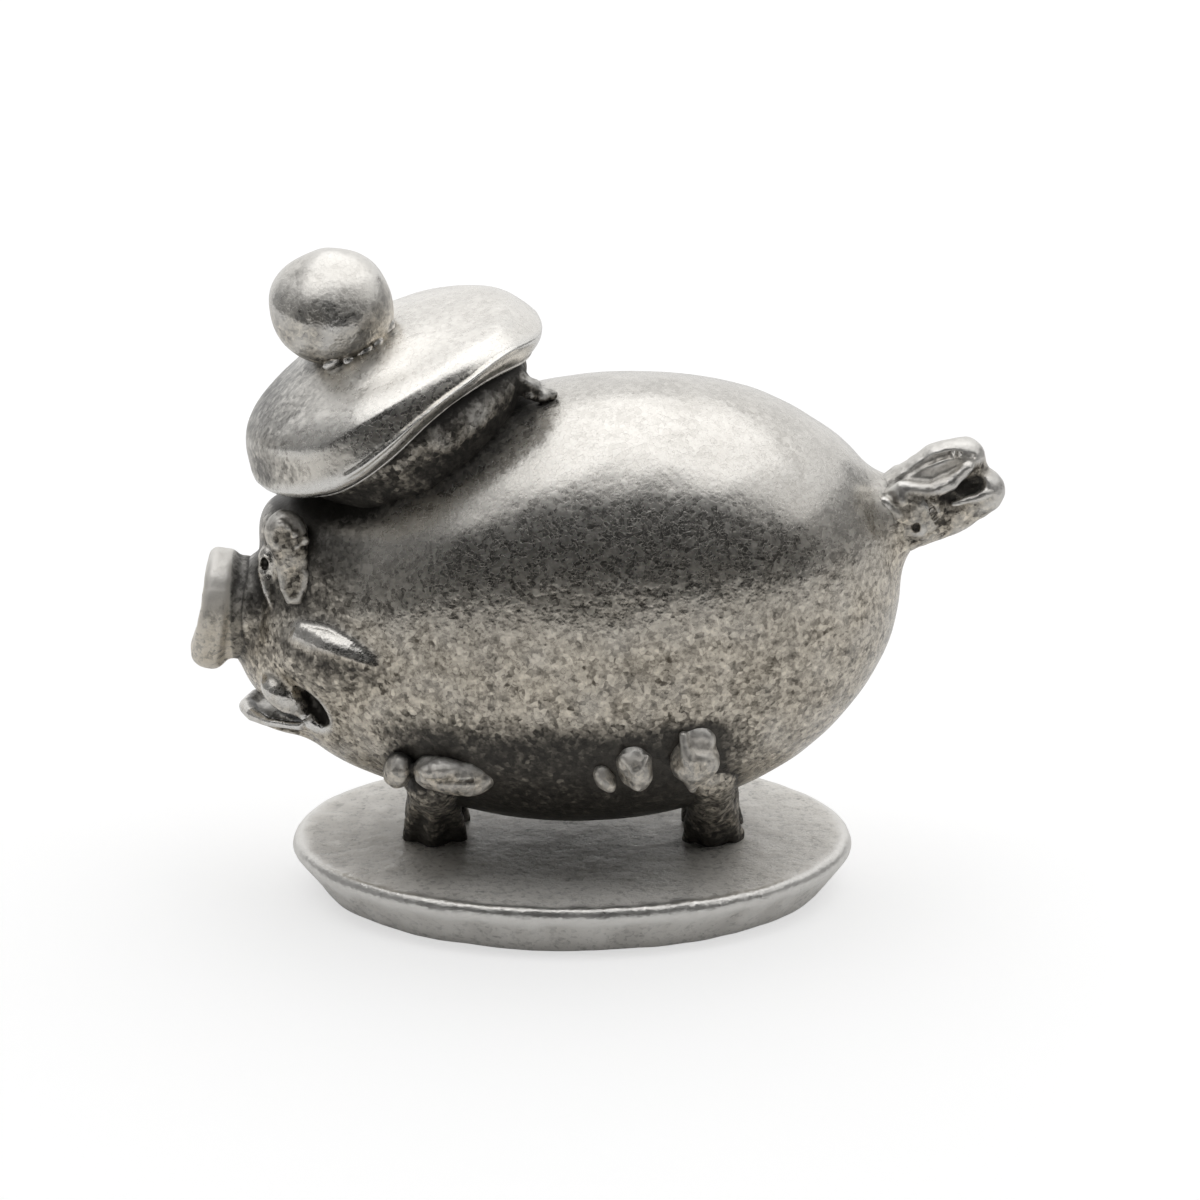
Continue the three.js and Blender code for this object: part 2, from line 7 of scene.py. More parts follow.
import bmesh
import bpy
import numpy as np
from mathutils import Euler, Matrix, Vector, noise
from mathutils.bvhtree import BVHTree

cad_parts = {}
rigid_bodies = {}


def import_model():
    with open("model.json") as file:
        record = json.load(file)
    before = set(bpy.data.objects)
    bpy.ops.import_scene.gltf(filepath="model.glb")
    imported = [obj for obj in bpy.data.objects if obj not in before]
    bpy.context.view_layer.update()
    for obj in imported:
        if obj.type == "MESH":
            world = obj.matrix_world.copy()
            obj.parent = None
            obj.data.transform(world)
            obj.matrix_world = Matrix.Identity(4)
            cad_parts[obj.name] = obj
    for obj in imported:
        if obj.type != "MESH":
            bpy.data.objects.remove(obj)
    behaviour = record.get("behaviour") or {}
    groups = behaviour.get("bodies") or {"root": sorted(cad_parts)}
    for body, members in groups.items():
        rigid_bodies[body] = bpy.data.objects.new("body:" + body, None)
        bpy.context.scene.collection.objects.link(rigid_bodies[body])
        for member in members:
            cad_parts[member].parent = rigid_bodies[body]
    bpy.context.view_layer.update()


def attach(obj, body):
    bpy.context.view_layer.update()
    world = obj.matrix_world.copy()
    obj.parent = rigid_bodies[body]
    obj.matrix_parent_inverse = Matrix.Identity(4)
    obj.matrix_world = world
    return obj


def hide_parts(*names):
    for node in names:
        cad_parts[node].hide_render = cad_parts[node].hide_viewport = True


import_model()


# Body: the stuffed casing with the head, cheeks, eyes and jaw, cast solid in pewter. The pattern for it was
# modelled in clay, so it is made here the same way: lumps and ropes are pressed together, each join gets
# a soft fillet, and hollows are cut with a tool.
BODY_MIDDLE = Vector((0.6, 0.0, 15.3))
BODY_LENGTH = 31.6
BODY_WIDTH = 19.6
BODY_HEIGHT = 22.2
BODY_RISE = 1.2
REAR_SWELL = 0.07
BELLY_FULLNESS = 2.5
BODY_VOXEL = 0.23
PROBE = 0.01
LONGEST_PRESS = 0.2


def rotation(turn):
    """A rotation by angles in degrees about X, Y and Z."""
    return Euler([math.radians(angle) for angle in turn])


def to_ellipsoid(points, middle, size, turn):
    """Distance of each point from an ellipsoid: below 0 inside it."""
    local = (points - np.array(middle)) @ np.array(rotation(turn).to_matrix())
    half = np.array(size) / 2
    inner = np.linalg.norm(local / half, axis=1)
    steep = np.linalg.norm(local / half**2, axis=1) + 1e-9
    return inner * (inner - 1) / steep


def to_rope(points, path, radii):
    """Distance of each point from a tapering rope along a path."""
    nearest = np.full(len(points), np.inf)
    for start, end, first, last in zip(path, path[1:], radii, radii[1:]):
        start, run = np.array(start), np.array(end) - np.array(start)
        share = np.clip(((points - start) @ run) / (run @ run), 0, 1)
        away = np.linalg.norm(points - start - share[:, None] * run, axis=1)
        nearest = np.minimum(nearest, away - first - (last - first) * share)
    return nearest


def to_casing(points):
    """Distance of each point from the egg of the body, which is larger at the rear and full in the belly."""
    x, y, z = (points - np.array(BODY_MIDDLE)).T
    along = x / (BODY_LENGTH / 2)
    swell = 1 + REAR_SWELL * np.clip(along, -1, 1)
    half_width = BODY_WIDTH / 2 * swell
    half_height = BODY_HEIGHT / 2 * swell
    across = y / half_width
    rise = (z - BODY_RISE * along) / half_height
    fullness = np.where(rise < 0, BELLY_FULLNESS, 2.0)
    round_part = (np.abs(across) ** fullness + np.abs(rise) ** fullness) ** (1 / fullness) + 1e-9
    value = along**2 + round_part**2
    end_slope = 2 * np.abs(along) / (BODY_LENGTH / 2)
    side = np.hypot(across / half_width, rise / half_height) / np.hypot(across, rise).clip(1e-9)
    return (value - 1) / np.hypot(end_slope, 2 * round_part * side).clip(0.02)


def to_puck(points, middle, diameter, thickness, edge, turn):
    """Distance of each point from a disc with a rounded edge."""
    x, y, z = ((points - np.array(middle)) @ np.array(rotation(turn).to_matrix())).T
    outward = np.hypot(x, y) - (diameter / 2 - edge)
    upward = np.abs(z) - (thickness / 2 - edge)
    outside = np.hypot(np.maximum(outward, 0), np.maximum(upward, 0))
    return outside + np.minimum(np.maximum(outward, upward), 0) - edge


def filleted(first, second, fillet):
    """Joins two distances, with a fillet where they meet."""
    share = np.clip(0.5 + 0.5 * (second - first) / fillet, 0, 1)
    return second + (first - second) * share - fillet * share * (1 - share)


def own_mesh(name, shape):
    """A mesh that holds a bmesh's shape, which is freed."""
    mesh = bpy.data.meshes.new(name)
    shape.to_mesh(mesh)
    shape.free()
    return mesh


def shaped_by(mesh, kind, settings):
    """The mesh as one modifier leaves it."""
    holder = bpy.data.objects.new(mesh.name, mesh)
    bpy.context.scene.collection.objects.link(holder)
    modifier = holder.modifiers.new("shape", kind)
    for name, value in settings.items():
        setattr(modifier, name, value)
    view = holder.evaluated_get(bpy.context.evaluated_depsgraph_get())
    result = bpy.data.meshes.new_from_object(view)
    bpy.data.objects.remove(holder)
    bpy.data.meshes.remove(mesh)
    return result


def fused(mesh, voxel):
    """The mesh with all its overlapping shells fused into one skin of even squares."""
    return shaped_by(mesh, "REMESH", {"mode": "VOXEL", "voxel_size": voxel})


def carved(mesh, tool_mesh):
    """The mesh with the tool's shape cut out of it."""
    tool = bpy.data.objects.new("tool", tool_mesh)
    bpy.context.scene.collection.objects.link(tool)
    result = shaped_by(mesh, "BOOLEAN", {"operation": "DIFFERENCE", "object": tool, "solver": "MANIFOLD"})
    bpy.data.objects.remove(tool)
    bpy.data.meshes.remove(tool_mesh)
    return result


def split_squares(mesh, chosen):
    """The mesh with each of its squares split in four where the chosen points are."""
    shape = bmesh.new()
    shape.from_mesh(mesh)
    bpy.data.meshes.remove(mesh)
    edges = [edge for edge in shape.edges if chosen(edge.verts[0].co) and chosen(edge.verts[1].co)]
    bmesh.ops.subdivide_edges(shape, edges=edges, cuts=1, use_grid_fill=True)
    return own_mesh("split", shape)


def points_of(mesh, what="co"):
    """The places of a mesh's points, or their normals, one in each row."""
    flat = np.empty(len(mesh.vertices) * 3)
    mesh.vertices.foreach_get(what, flat)
    return flat.reshape(-1, 3)


class Clay:
    """A clay pattern: what is pressed on or cut away, in order, and the rough shape it starts from."""

    def __init__(self):
        self.rough = bmesh.new()
        self.cuts = bmesh.new()
        self.strokes = []

    def press_on(self, distance, middle, reach, fillet, sign=1):
        """Adds a shape by its distance, or cuts it away where the sign is -1."""
        self.strokes.append((distance, np.array(middle), reach + fillet, fillet, sign))

    def lump(self, middle, size, turn=(0, 0, 0), fillet=0.4):
        place = Matrix.LocRotScale(Vector(middle), rotation(turn), Vector(size) / 2)
        bmesh.ops.create_icosphere(self.rough, subdivisions=4, radius=1, matrix=place)
        self.press_on(lambda p: to_ellipsoid(p, middle, size, turn), middle, max(size) / 2 + 1, fillet)

    def puck(self, middle, diameter, thickness, edge, turn, fillet=0.4):
        place = Matrix.LocRotScale(Vector(middle), rotation(turn), None)
        radius = diameter / 2
        bmesh.ops.create_cone(self.rough, cap_ends=True, segments=64, radius1=radius, radius2=radius,
                              depth=thickness, matrix=place)
        self.press_on(lambda p: to_puck(p, middle, diameter, thickness, edge, turn), middle, diameter,
                      fillet)

    def rope(self, path, radii, fillet=0.3):
        for point, radius in zip(path, radii):
            spot = Matrix.Translation(point)
            bmesh.ops.create_icosphere(self.rough, subdivisions=3, radius=radius, matrix=spot)
        for start, end, first, last in zip(path, path[1:], radii, radii[1:]):
            run = Vector(end) - Vector(start)
            place = Matrix.Translation((Vector(start) + Vector(end)) / 2)
            place @= run.to_track_quat("Z", "Y").to_matrix().to_4x4()
            bmesh.ops.create_cone(self.rough, cap_ends=True, segments=16, radius1=first, radius2=last,
                                  depth=run.length, matrix=place)
        middle, reach = self.span(path, radii)
        self.press_on(lambda p: to_rope(p, path, radii), middle, reach, fillet)

    def hollow(self, middle, size, turn=(0, 0, 0), fillet=0.15, deep=False):
        if deep:
            place = Matrix.LocRotScale(Vector(middle), rotation(turn), Vector(size) / 2)
            bmesh.ops.create_icosphere(self.cuts, subdivisions=4, radius=1, matrix=place)
        reach = max(size) / 2 + 1
        self.press_on(lambda p: to_ellipsoid(p, middle, size, turn), middle, reach, fillet, -1)

    def groove(self, path, radii, fillet=0.15):
        middle, reach = self.span(path, radii)
        self.press_on(lambda p: to_rope(p, path, radii), middle, reach, fillet, -1)

    @staticmethod
    def span(path, radii):
        """The middle of a rope, and how far from there it reaches."""
        points = np.array(path)
        middle = (points.min(0) + points.max(0)) / 2
        return middle, np.linalg.norm(points - middle, axis=1).max() + max(radii) + 1

    def distance(self, points, near):
        """Distance of each point from the clay's surface. near lists the points that each stroke reaches."""
        total = np.full(len(points), 1e3)
        for (distance, _, _, fillet, sign), spots in zip(self.strokes, near):
            here = distance(points[spots])
            total[spots] = sign * filleted(sign * total[spots], here, fillet)
        return total

    def pressed(self, mesh, rounds):
        """Moves the mesh's points onto the clay's surface."""
        points = points_of(mesh)
        near = [np.nonzero(np.linalg.norm(points - middle, axis=1) < reach + 0.5)[0]
                for _, middle, reach, _, _ in self.strokes]
        for _ in range(rounds):
            away = self.distance(points, near)
            slope = [(self.distance(points + PROBE * axis, near) - away) / PROBE for axis in np.eye(3)]
            slope = np.stack(slope, 1)
            step = np.clip(away, -LONGEST_PRESS, LONGEST_PRESS) / ((slope**2).sum(1) + 0.05)
            points = points - slope * step[:, None]
        mesh.vertices.foreach_set("co", points.ravel())
        mesh.update()
        return mesh

    def cast(self, name, voxel, finer=()):
        """The finished skin: fused and pressed twice, so that cuts get as many points as the rest, and then
        with its squares split wherever it is to be finer."""
        skin = fused(own_mesh(name, self.rough), voxel)
        if self.cuts.verts:
            skin = carved(skin, fused(own_mesh("tool", self.cuts), voxel * 0.7))
            skin = fused(skin, voxel)
        skin = fused(self.pressed(skin, 10), voxel)
        for chosen in finer:
            skin = split_squares(self.pressed(skin, 4), chosen)
        return self.pressed(skin, 6)


def uneven(mesh, waves):
    """Moves a mesh's points in and out by soft noise: (size of a wave, height) in millimetres."""
    points = points_of(mesh)
    normals = points_of(mesh, "normal")
    height = np.zeros(len(points))
    for size, amount in waves:
        height += amount * np.array([noise.noise(Vector(point) / size) for point in points])
    mesh.vertices.foreach_set("co", (points + normals * height[:, None]).ravel())
    mesh.update()


def piece_from(mesh, name, material):
    """A smooth object at the origin, in metres, from a mesh in millimetres."""
    mesh.name = name
    mesh.transform(Matrix.Scale(0.001, 4))
    mesh.shade_smooth()
    mesh.materials.clear()
    mesh.materials.append(material)
    piece = bpy.data.objects.new(name, mesh)
    bpy.context.scene.collection.objects.link(piece)
    return piece


class Wire:
    """A socket in a node tree. Arithmetic on it adds Math nodes, and node() adds any other node."""

    def __init__(self, tree, socket=None):
        self.tree = tree
        self.socket = socket

    def node(self, kind, settings=None, sockets=None, output=0):
        made = self.tree.nodes.new(kind)
        for name, value in (settings or {}).items():
            setattr(made, name, value)
        for name, value in (sockets or {}).items():
            if isinstance(value, Wire):
                self.tree.links.new(value.socket, made.inputs[name])
            else:
                made.inputs[name].default_value = value
        return Wire(self.tree, made.outputs[output] if made.outputs else None)

    def maths(self, operation, first, second):
        return self.node("ShaderNodeMath", {"operation": operation}, {0: first, 1: second})

    def __add__(self, other):
        return self.maths("ADD", self, other)

    def __sub__(self, other):
        return self.maths("SUBTRACT", self, other)

    def __rsub__(self, other):
        return self.maths("SUBTRACT", other, self)

    def __mul__(self, other):
        return self.maths("MULTIPLY", self, other)

    __radd__ = __add__
    __rmul__ = __mul__

    def ramp(self, low, high):
        """0 below low, 1 above high and smooth between."""
        return self.node("ShaderNodeMapRange", {"interpolation_type": "SMOOTHSTEP"},
                         {"Value": self, "From Min": low, "From Max": high})

    def mix(self, colour, other):
        """One colour where this is 0, and the other where it is 1."""
        return self.node("ShaderNodeMix", {"data_type": "RGBA"}, {"Factor": self, 6: colour, 7: other}, 2)


DARK_PATINA_AND_SHADE = (0.028, 0.026, 0.023, 1)
PITTED_PEWTER = (0.075, 0.063, 0.047, 1)
TARNISHED_PEWTER = (0.90, 0.82, 0.69, 1)
CLEAN_TOPLIT_PEWTER = (0.86, 0.835, 0.79, 1)
WORN_AND_HIGHLIT_PEWTER = (0.72, 0.705, 0.675, 1)
PATCHES_PER_METRE = 300
COARSE_GRAINS_PER_METRE = 3800
FINE_GRAINS_PER_METRE = 6500
PITS_PER_METRE = 2200
GRAIN_HEIGHT = 0.00016


def pewter(name, patina_and_shade, polish, grain, roughness, matt=0.0):
    """Antiqued pewter: patina darkens it, as real patina and as painted shade, polish brightens it, grain
    makes its skin sandy and matt takes away its mirror shine. It reads what the Patina section measures on
    each piece, painted shade and highlights too."""
    material = bpy.data.materials.new(name)
    material.use_nodes = True
    material.node_tree.nodes.clear()
    wire = Wire(material.node_tree)
    spot = wire.node("ShaderNodeTexCoord", output="Object")

    def cloud(scale, detail):
        return wire.node("ShaderNodeTexNoise", None,
                         {"Vector": spot, "Scale": scale, "Detail": detail, "Roughness": 0.6})

    def grains(scale):
        return wire.node("ShaderNodeTexVoronoi", None, {"Vector": spot, "Scale": scale}, "Color")

    def measured(attribute):
        return wire.node("ShaderNodeAttribute", {"attribute_name": attribute}, output="Fac")

    shade = measured("shade")
    hollow = measured("hollow")
    worn = measured("worn")
    wiped = measured("wiped")

    # The cast skin: large patches, and a sandy speck that is fainter where the metal was wiped clean.
    patches = cloud(PATCHES_PER_METRE, 3)
    speck = grains(COARSE_GRAINS_PER_METRE) * 0.3 + grains(FINE_GRAINS_PER_METRE) * 0.2
    speck = speck + cloud(PITS_PER_METRE, 2) * 0.5
    sandy = grain * (0.3 + (0.76 - wiped).ramp(0, 0.22) * 0.7)

    # The patina that was left in hollows and in pits and not on worn edges, and the painted shade and
    # highlights of the shade attribute.
    dirt_and_shade = shade + hollow * 0.4 + (patches - 0.5) * 0.4 + patina_and_shade - worn * 0.6
    dirt_and_shade_share = (dirt_and_shade + (0.5 - speck) * 0.9).ramp(0.1, 1.0)

    # The metal under it: pitted and tarnished on the sides, clean and painted lighter on top as if lit from
    # above, and bare on the edges.
    bright = wiped.ramp(0.45, 0.85)
    clean_and_toplit = (speck - 0.5) * sandy * 2.0 + bright * 0.28 + 0.38 + polish + (patches - 0.5) * 0.3
    metal = bright.mix(TARNISHED_PEWTER, CLEAN_TOPLIT_PEWTER)
    metal = clean_and_toplit.mix(PITTED_PEWTER, metal)
    # Worn edges show bare metal, and painted highlights use the same bright colour.
    metal = (worn * (1 - dirt_and_shade_share)).ramp(0.0, 1.0).mix(metal, WORN_AND_HIGHLIT_PEWTER)
    # Patina and painted shade darken the colour here.
    colour = (dirt_and_shade_share * 0.92).mix(metal, DARK_PATINA_AND_SHADE)
    rough = roughness * (1 - worn * 0.2) + dirt_and_shade_share * 0.1 + (speck - 0.5) * 0.3
    metallic = (1 - matt * (1 - worn)) * (1 - dirt_and_shade_share * 0.3)
    bump = wire.node("ShaderNodeBump", None,
                     {"Height": speck * sandy, "Strength": 0.8, "Distance": GRAIN_HEIGHT})
    shader = wire.node("ShaderNodeBsdfPrincipled", None,
                       {"Base Color": colour, "Roughness": rough, "Metallic": metallic, "Normal": bump})
    wire.node("ShaderNodeOutputMaterial", None, {"Surface": shader})
    return material


# The casing itself
body_clay = Clay()
egg_place = Matrix.LocRotScale(BODY_MIDDLE, None, Vector((BODY_LENGTH, BODY_WIDTH, BODY_HEIGHT)) / 2)
bmesh.ops.create_icosphere(body_clay.rough, subdivisions=6, radius=1, matrix=egg_place)
body_clay.press_on(to_casing, BODY_MIDDLE, BODY_LENGTH, 1.0)

# Neck of the tail
body_clay.rope([(13.0, 0, 18.3), (16.4, 0, 19.6)], [3.0, 1.8], fillet=1.3)

# Forehead, lower face and brow
body_clay.lump((-11.2, 0, 17.5), (8.8, 10.0, 8.4), fillet=1.2)
body_clay.lump((-11.9, 0, 13.5), (8.6, 10.6, 9.4), fillet=1.4)
body_clay.lump((-14.5, 0, 19.1), (1.9, 4.6, 2.2), fillet=0.6)

# Muzzle and its flat end
body_clay.rope([(-12.0, 0, 13.45), (-15.0, 0, 14.4)], [3.0, 2.5], fillet=0.8)
body_clay.puck((-15.3, 0, 14.55), 5.15, 2.6, 0.5, (0, 100, 0), fillet=0.6)

# Upper lip, throat and floor of the jaw
body_clay.lump((-13.8, 0, 12.2), (5.4, 7.2, 5.2), fillet=0.8)
body_clay.lump((-10.6, 0, 9.7), (8.0, 8.6, 5.4), (0, 30, 0), fillet=1.5)
body_clay.lump((-13.4, 0, 8.85), (6.2, 5.8, 0.9), (0, 8, 0), fillet=0.4)

# Cheeks, each with a ledge along its top
LEDGE_RADII = [0.25, 0.45, 0.45, 0.25]
LEDGES = []
for side in (-1, 1):
    body_clay.lump((-11.9, side * 4.9, 13.5), (4.8, 2.9, 3.0), (0, 7, side * 29), fillet=0.8)
    LEDGES.append([(-13.2, side * 5.05, 14.95), (-12.0, side * 5.85, 14.7), (-10.9, side * 6.5, 14.4),
                   (-9.8, side * 7.05, 14.0)])
    body_clay.rope(LEDGES[-1], LEDGE_RADII, fillet=0.7)

# Mouth: a slot across the face, with the thin wall of the lower jaw round it
MOUTH = [((-14.6, 0, 10.0), (5.8, 8.0, 1.0), (0, 5, 0))]
body_clay.hollow(*MOUTH[0], fillet=0.2, deep=True)
JAW_SIDE = [(-11.9, 3.0, 9.6), (-13.6, 3.3, 9.45), (-15.15, 2.5, 9.4), (-16.0, 1.3, 9.35)]
JAW_TIP = (-16.35, 0, 9.3)
JAW_SIDE_RADII = [0.3, 0.22, 0.25, 0.4]
JAW_TIP_RADIUS = 0.48
jaw_wall = [(x, -y, z) for x, y, z in JAW_SIDE] + [JAW_TIP] + JAW_SIDE[::-1]
body_clay.rope(jaw_wall, JAW_SIDE_RADII + [JAW_TIP_RADIUS] + JAW_SIDE_RADII[::-1], fillet=0.2)

# Mouth corners, lips, and eyes with a lid that runs down like a tear
LIPS = [(-14.2, side * 3.65, 11.3) for side in (-1, 1)]
PUPILS = [Vector((-15.16, side * 2.85, 17.81)) for side in (-1, 1)]
for side, lip, pupil in zip((-1, 1), LIPS, PUPILS):
    MOUTH.append(((-13.0, side * 5.1, 10.95), (2.8, 3.0, 1.5), (0, 52, 0)))
    body_clay.hollow(*MOUTH[-1], fillet=0.12, deep=True)
    body_clay.lump(lip, (2.7, 2.2, 1.7), (0, 34, 0), fillet=0.4)
    body_clay.lump((-14.9, side * 2.2, 17.75), (1.2, 1.5, 1.75), fillet=0.2)
    body_clay.rope([(-15.0, side * 2.5, 17.2), (-14.9, side * 3.0, 16.5), (-14.75, side * 3.35, 15.95)],
                   [0.5, 0.36, 0.2], fillet=0.25)
    body_clay.hollow(pupil, (0.5, 0.72, 0.64), fillet=0.03)

FACE_BACK = -11.4
FACE_TOP = 20.5
CHEEK_BACK = -9.6
CHEEK_BOTTOM = 12.5
CHEEK_TOP = 16.0
EYE_REACH = 0.8


def on_face(point):
    """Whether a point is on the face or a cheek, which have fine forms."""
    on_cheek = point.x < CHEEK_BACK and CHEEK_BOTTOM < point.z < CHEEK_TOP
    return on_cheek or point.x < FACE_BACK and point.z < FACE_TOP


def by_pupil(point):
    """Whether a point is on an eye, which has the finest forms."""
    return min((point - pupil).length for pupil in PUPILS) < EYE_REACH


body_mesh = body_clay.cast("body_cast", BODY_VOXEL, [on_face, by_pupil, by_pupil])
uneven(body_mesh, [(5.0, 0.10), (1.6, 0.03)])
body_pewter = pewter("body_pewter", patina_and_shade=0.0, polish=0.0, grain=0.9, roughness=0.28)
body = piece_from(body_mesh, "body_cast", body_pewter)
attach(body, "root")
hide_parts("body")


# Snout: a thick round disc on the muzzle, cast in pewter and soldered on by a peg, with two nostrils
# pressed into its face. It is fatter at the bottom.
SNOUT_MIDDLE = Vector((-17.8, 0, 14.65))
SNOUT_TILT = 10
NOSTRILS = [SNOUT_MIDDLE + Vector((-0.8, side * 1.0, 0.35)) for side in (-1, 1)]

snout_clay = Clay()
snout_turn = (0, 90 + SNOUT_TILT, 0)
snout_clay.puck(SNOUT_MIDDLE, 5.9, 1.5, 0.5, snout_turn)
snout_clay.puck(SNOUT_MIDDLE + Vector((1.2, 0, -0.08)), 5.2, 2.0, 0.4, snout_turn, fillet=0.25)
snout_clay.lump(SNOUT_MIDDLE + Vector((-0.25, 0, -2.1)), (1.8, 3.8, 1.8), (0, SNOUT_TILT, 0), fillet=0.5)
for nostril in NOSTRILS:
    snout_clay.hollow(nostril, (1.3, 0.95, 1.25), (0, SNOUT_TILT, 0))
snout_mesh = snout_clay.cast("snout_cast", 0.09)
uneven(snout_mesh, [(1.8, 0.09), (0.6, 0.03)])
snout_pewter = pewter("snout_pewter", patina_and_shade=-0.15, polish=0.6, grain=1.6, roughness=0.5, matt=0.7)
snout = piece_from(snout_mesh, "snout_cast", snout_pewter)
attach(snout, "root")
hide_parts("snout")


# Ears: hanging flaps of pewter with a hollow face and a knobbly top, each soldered to the side of the head.
# The rim of the hollow is left thick round the tip.
EAR_VOXEL = 0.07
EAR_KNOBS = [((-14.15, 4.7, 20.55), 0.4), ((-13.8, 4.8, 20.3), 0.35), ((-13.5, 4.8, 19.95), 0.45),
             ((-13.4, 4.75, 19.4), 0.35), ((-13.0, 4.6, 19.6), 0.4), ((-14.3, 4.6, 19.4), 0.35)]
for side, hand in ((-1, "left"), (1, "right")):
    ear_clay = Clay()
    ear_clay.lump((-13.95, side * 4.0, 19.7), (2.1, 1.7, 2.6), (0, -10, 0))
    ear_clay.lump((-13.6, side * 4.25, 18.1), (1.75, 1.2, 3.3), (0, -6, 0))
    ear_clay.hollow((-13.5, side * 5.05, 17.6), (0.9, 0.7, 1.7), fillet=0.2)
    ear_clay.rope([(-14.25, side * 4.5, 18.0), (-14.1, side * 4.55, 17.1), (-13.8, side * 4.6, 16.6),
                   (-13.4, side * 4.6, 16.6), (-13.1, side * 4.65, 17.2), (-12.95, side * 4.6, 17.9)],
                  [0.12, 0.18, 0.24, 0.24, 0.18, 0.12], fillet=0.2)
    for knob, size in EAR_KNOBS:
        ear_clay.lump((knob[0], side * knob[1], knob[2]), (size, size, size), fillet=0.2)
    ear_mesh = ear_clay.cast(hand + "_ear_cast", EAR_VOXEL)
    uneven(ear_mesh, [(0.9, 0.08), (0.35, 0.03)])
    ear_pewter = pewter(hand + "_ear_pewter", patina_and_shade=0.4, polish=0.0, grain=1.3, roughness=0.5, matt=0.2)
    ear = piece_from(ear_mesh, hand + "_ear_cast", ear_pewter)
    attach(ear, "root")
    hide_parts(hand + "_ear")


# Tail: the gathered and tied end of the casing, whose folds open behind the knot. It is one pewter casting
# on a peg in the body.
TAIL_KNOBS = [(15.5, 1.75, 20.6), (16.0, 1.75, 20.1), (15.7, 1.9, 19.5), (16.3, 1.6, 20.75),
              (17.3, 1.45, 20.55)]
LEAF_MIDDLE = (18.4, 0, 22.1)

# The knot, the upper and the lower fold, and the web between them
tail_clay = Clay()
tail_clay.rope([(14.6, 0, 18.9), (17.0, 0, 19.9)], [2.0, 1.9], fillet=0.5)
tail_clay.rope([(16.0, 0, 20.8), (18.2, 0, 22.05), (19.4, 0, 22.45)], [0.8, 1.1, 1.05], fillet=0.4)
tail_clay.rope([(16.6, 0, 18.9), (18.7, 0, 19.6), (20.3, 0, 20.7)], [1.2, 1.2, 1.2], fillet=0.4)
tail_clay.lump((18.8, 0, 21.2), (3.8, 1.9, 2.8), (0, -25, 0), fillet=0.4)
for side in (-1, 1):
    # The hollow leaf of the upper fold, with a crease above it and a ridge below
    tail_clay.hollow((18.55, side * 1.55, 22.2), (2.4, 1.1, 0.9), (0, -16, 0), fillet=0.2)
    tail_clay.groove([(16.1, side * 0.8, 21.5), (17.4, side * 0.85, 22.45), (18.5, side * 0.85, 22.85),
                      (19.8, side * 0.8, 22.75)], [0.12, 0.2, 0.2, 0.12], fillet=0.1)
    tail_clay.rope([(15.0, side * 1.1, 20.5), (16.3, side * 1.35, 21.2), (17.8, side * 1.25, 21.15),
                    (18.75, side * 1.2, 21.5), (19.5, side * 1.05, 22.2)],
                   [0.2, 0.42, 0.42, 0.4, 0.25], fillet=0.25)

    # The gap between the folds, and the lip of the lower one
    tail_clay.hollow((19.75, side * 1.2, 21.25), (1.7, 1.5, 0.95), (0, -22, 0), fillet=0.12)
    tail_clay.rope([(18.9, side * 1.2, 20.35), (20.5, side * 1.05, 20.85)], [0.15, 0.2], fillet=0.15)
    tail_clay.groove([(18.6, side * 1.3, 20.05), (19.6, side * 1.3, 20.3)], [0.16, 0.1], fillet=0.1)

    # The ring of the tie with its pit, and the creases and knobs round it
    tail_clay.lump((17.0, side * 1.5, 19.35), (1.15, 0.8, 1.15), fillet=0.15)
    tail_clay.hollow((17.0, side * 1.95, 19.35), (0.45, 0.5, 0.5), fillet=0.08)
    tail_clay.groove([(17.5, side * 1.65, 20.7), (17.9, side * 1.55, 19.9), (18.1, side * 1.5, 19.5)],
                     [0.14, 0.2, 0.12], fillet=0.1)
    tail_clay.groove([(17.7, side * 1.6, 18.8), (18.6, side * 1.45, 19.3)], [0.18, 0.14], fillet=0.1)
    tail_clay.groove([(16.4, side * 1.5, 18.6), (17.2, side * 1.4, 18.3)], [0.15, 0.15], fillet=0.1)
    for knob in TAIL_KNOBS:
        tail_clay.lump((knob[0], side * knob[1], knob[2]), (0.8, 0.5, 0.6), (0, 40, 0), fillet=0.3)
tail_mesh = tail_clay.cast("tail_cast", 0.08)
uneven(tail_mesh, [(1.0, 0.07), (0.4, 0.03)])
tail_pewter = pewter("tail_pewter", patina_and_shade=0.25, polish=0.0, grain=1.2, roughness=0.45, matt=0.2)
tail = piece_from(tail_mesh, "tail_cast", tail_pewter)
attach(tail, "root")
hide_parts("tail_tie")


# Front legs: stumpy pewter castings. A small and a big toe lie against the belly, and a rough foot goes in
# under it to the base, where it is soldered.
LEG_VOXEL = 0.09
FRONT_ROOTS = [((-7.6, 3.0, 5.4), (-8.2, 1.1, 2.6)), ((-6.2, 3.2, 5.6), (-5.7, 1.3, 2.6)),
               ((-6.9, 3.4, 5.4), (-7.0, 1.9, 2.6))]


def flare_foot(clay, roots, out):
    """Presses on the ropes that spread a foot on the base."""
    for top, foot in roots:
        path = [(top[0], out * top[1], top[2]), (foot[0], out * foot[1], foot[2])]
        clay.rope(path, [0.6, 0.4], fillet=0.3)


def cast_leg(clay, name):
    """A leg with its finish, from its clay."""
    mesh = clay.cast(name + "_cast", LEG_VOXEL)
    uneven(mesh, [(0.9, 0.12), (0.4, 0.05)])
    leg_pewter = pewter(name + "_pewter", patina_and_shade=0.0, polish=0.1, grain=1.3, roughness=0.5, matt=0.3)
    return piece_from(mesh, name + "_cast", leg_pewter)


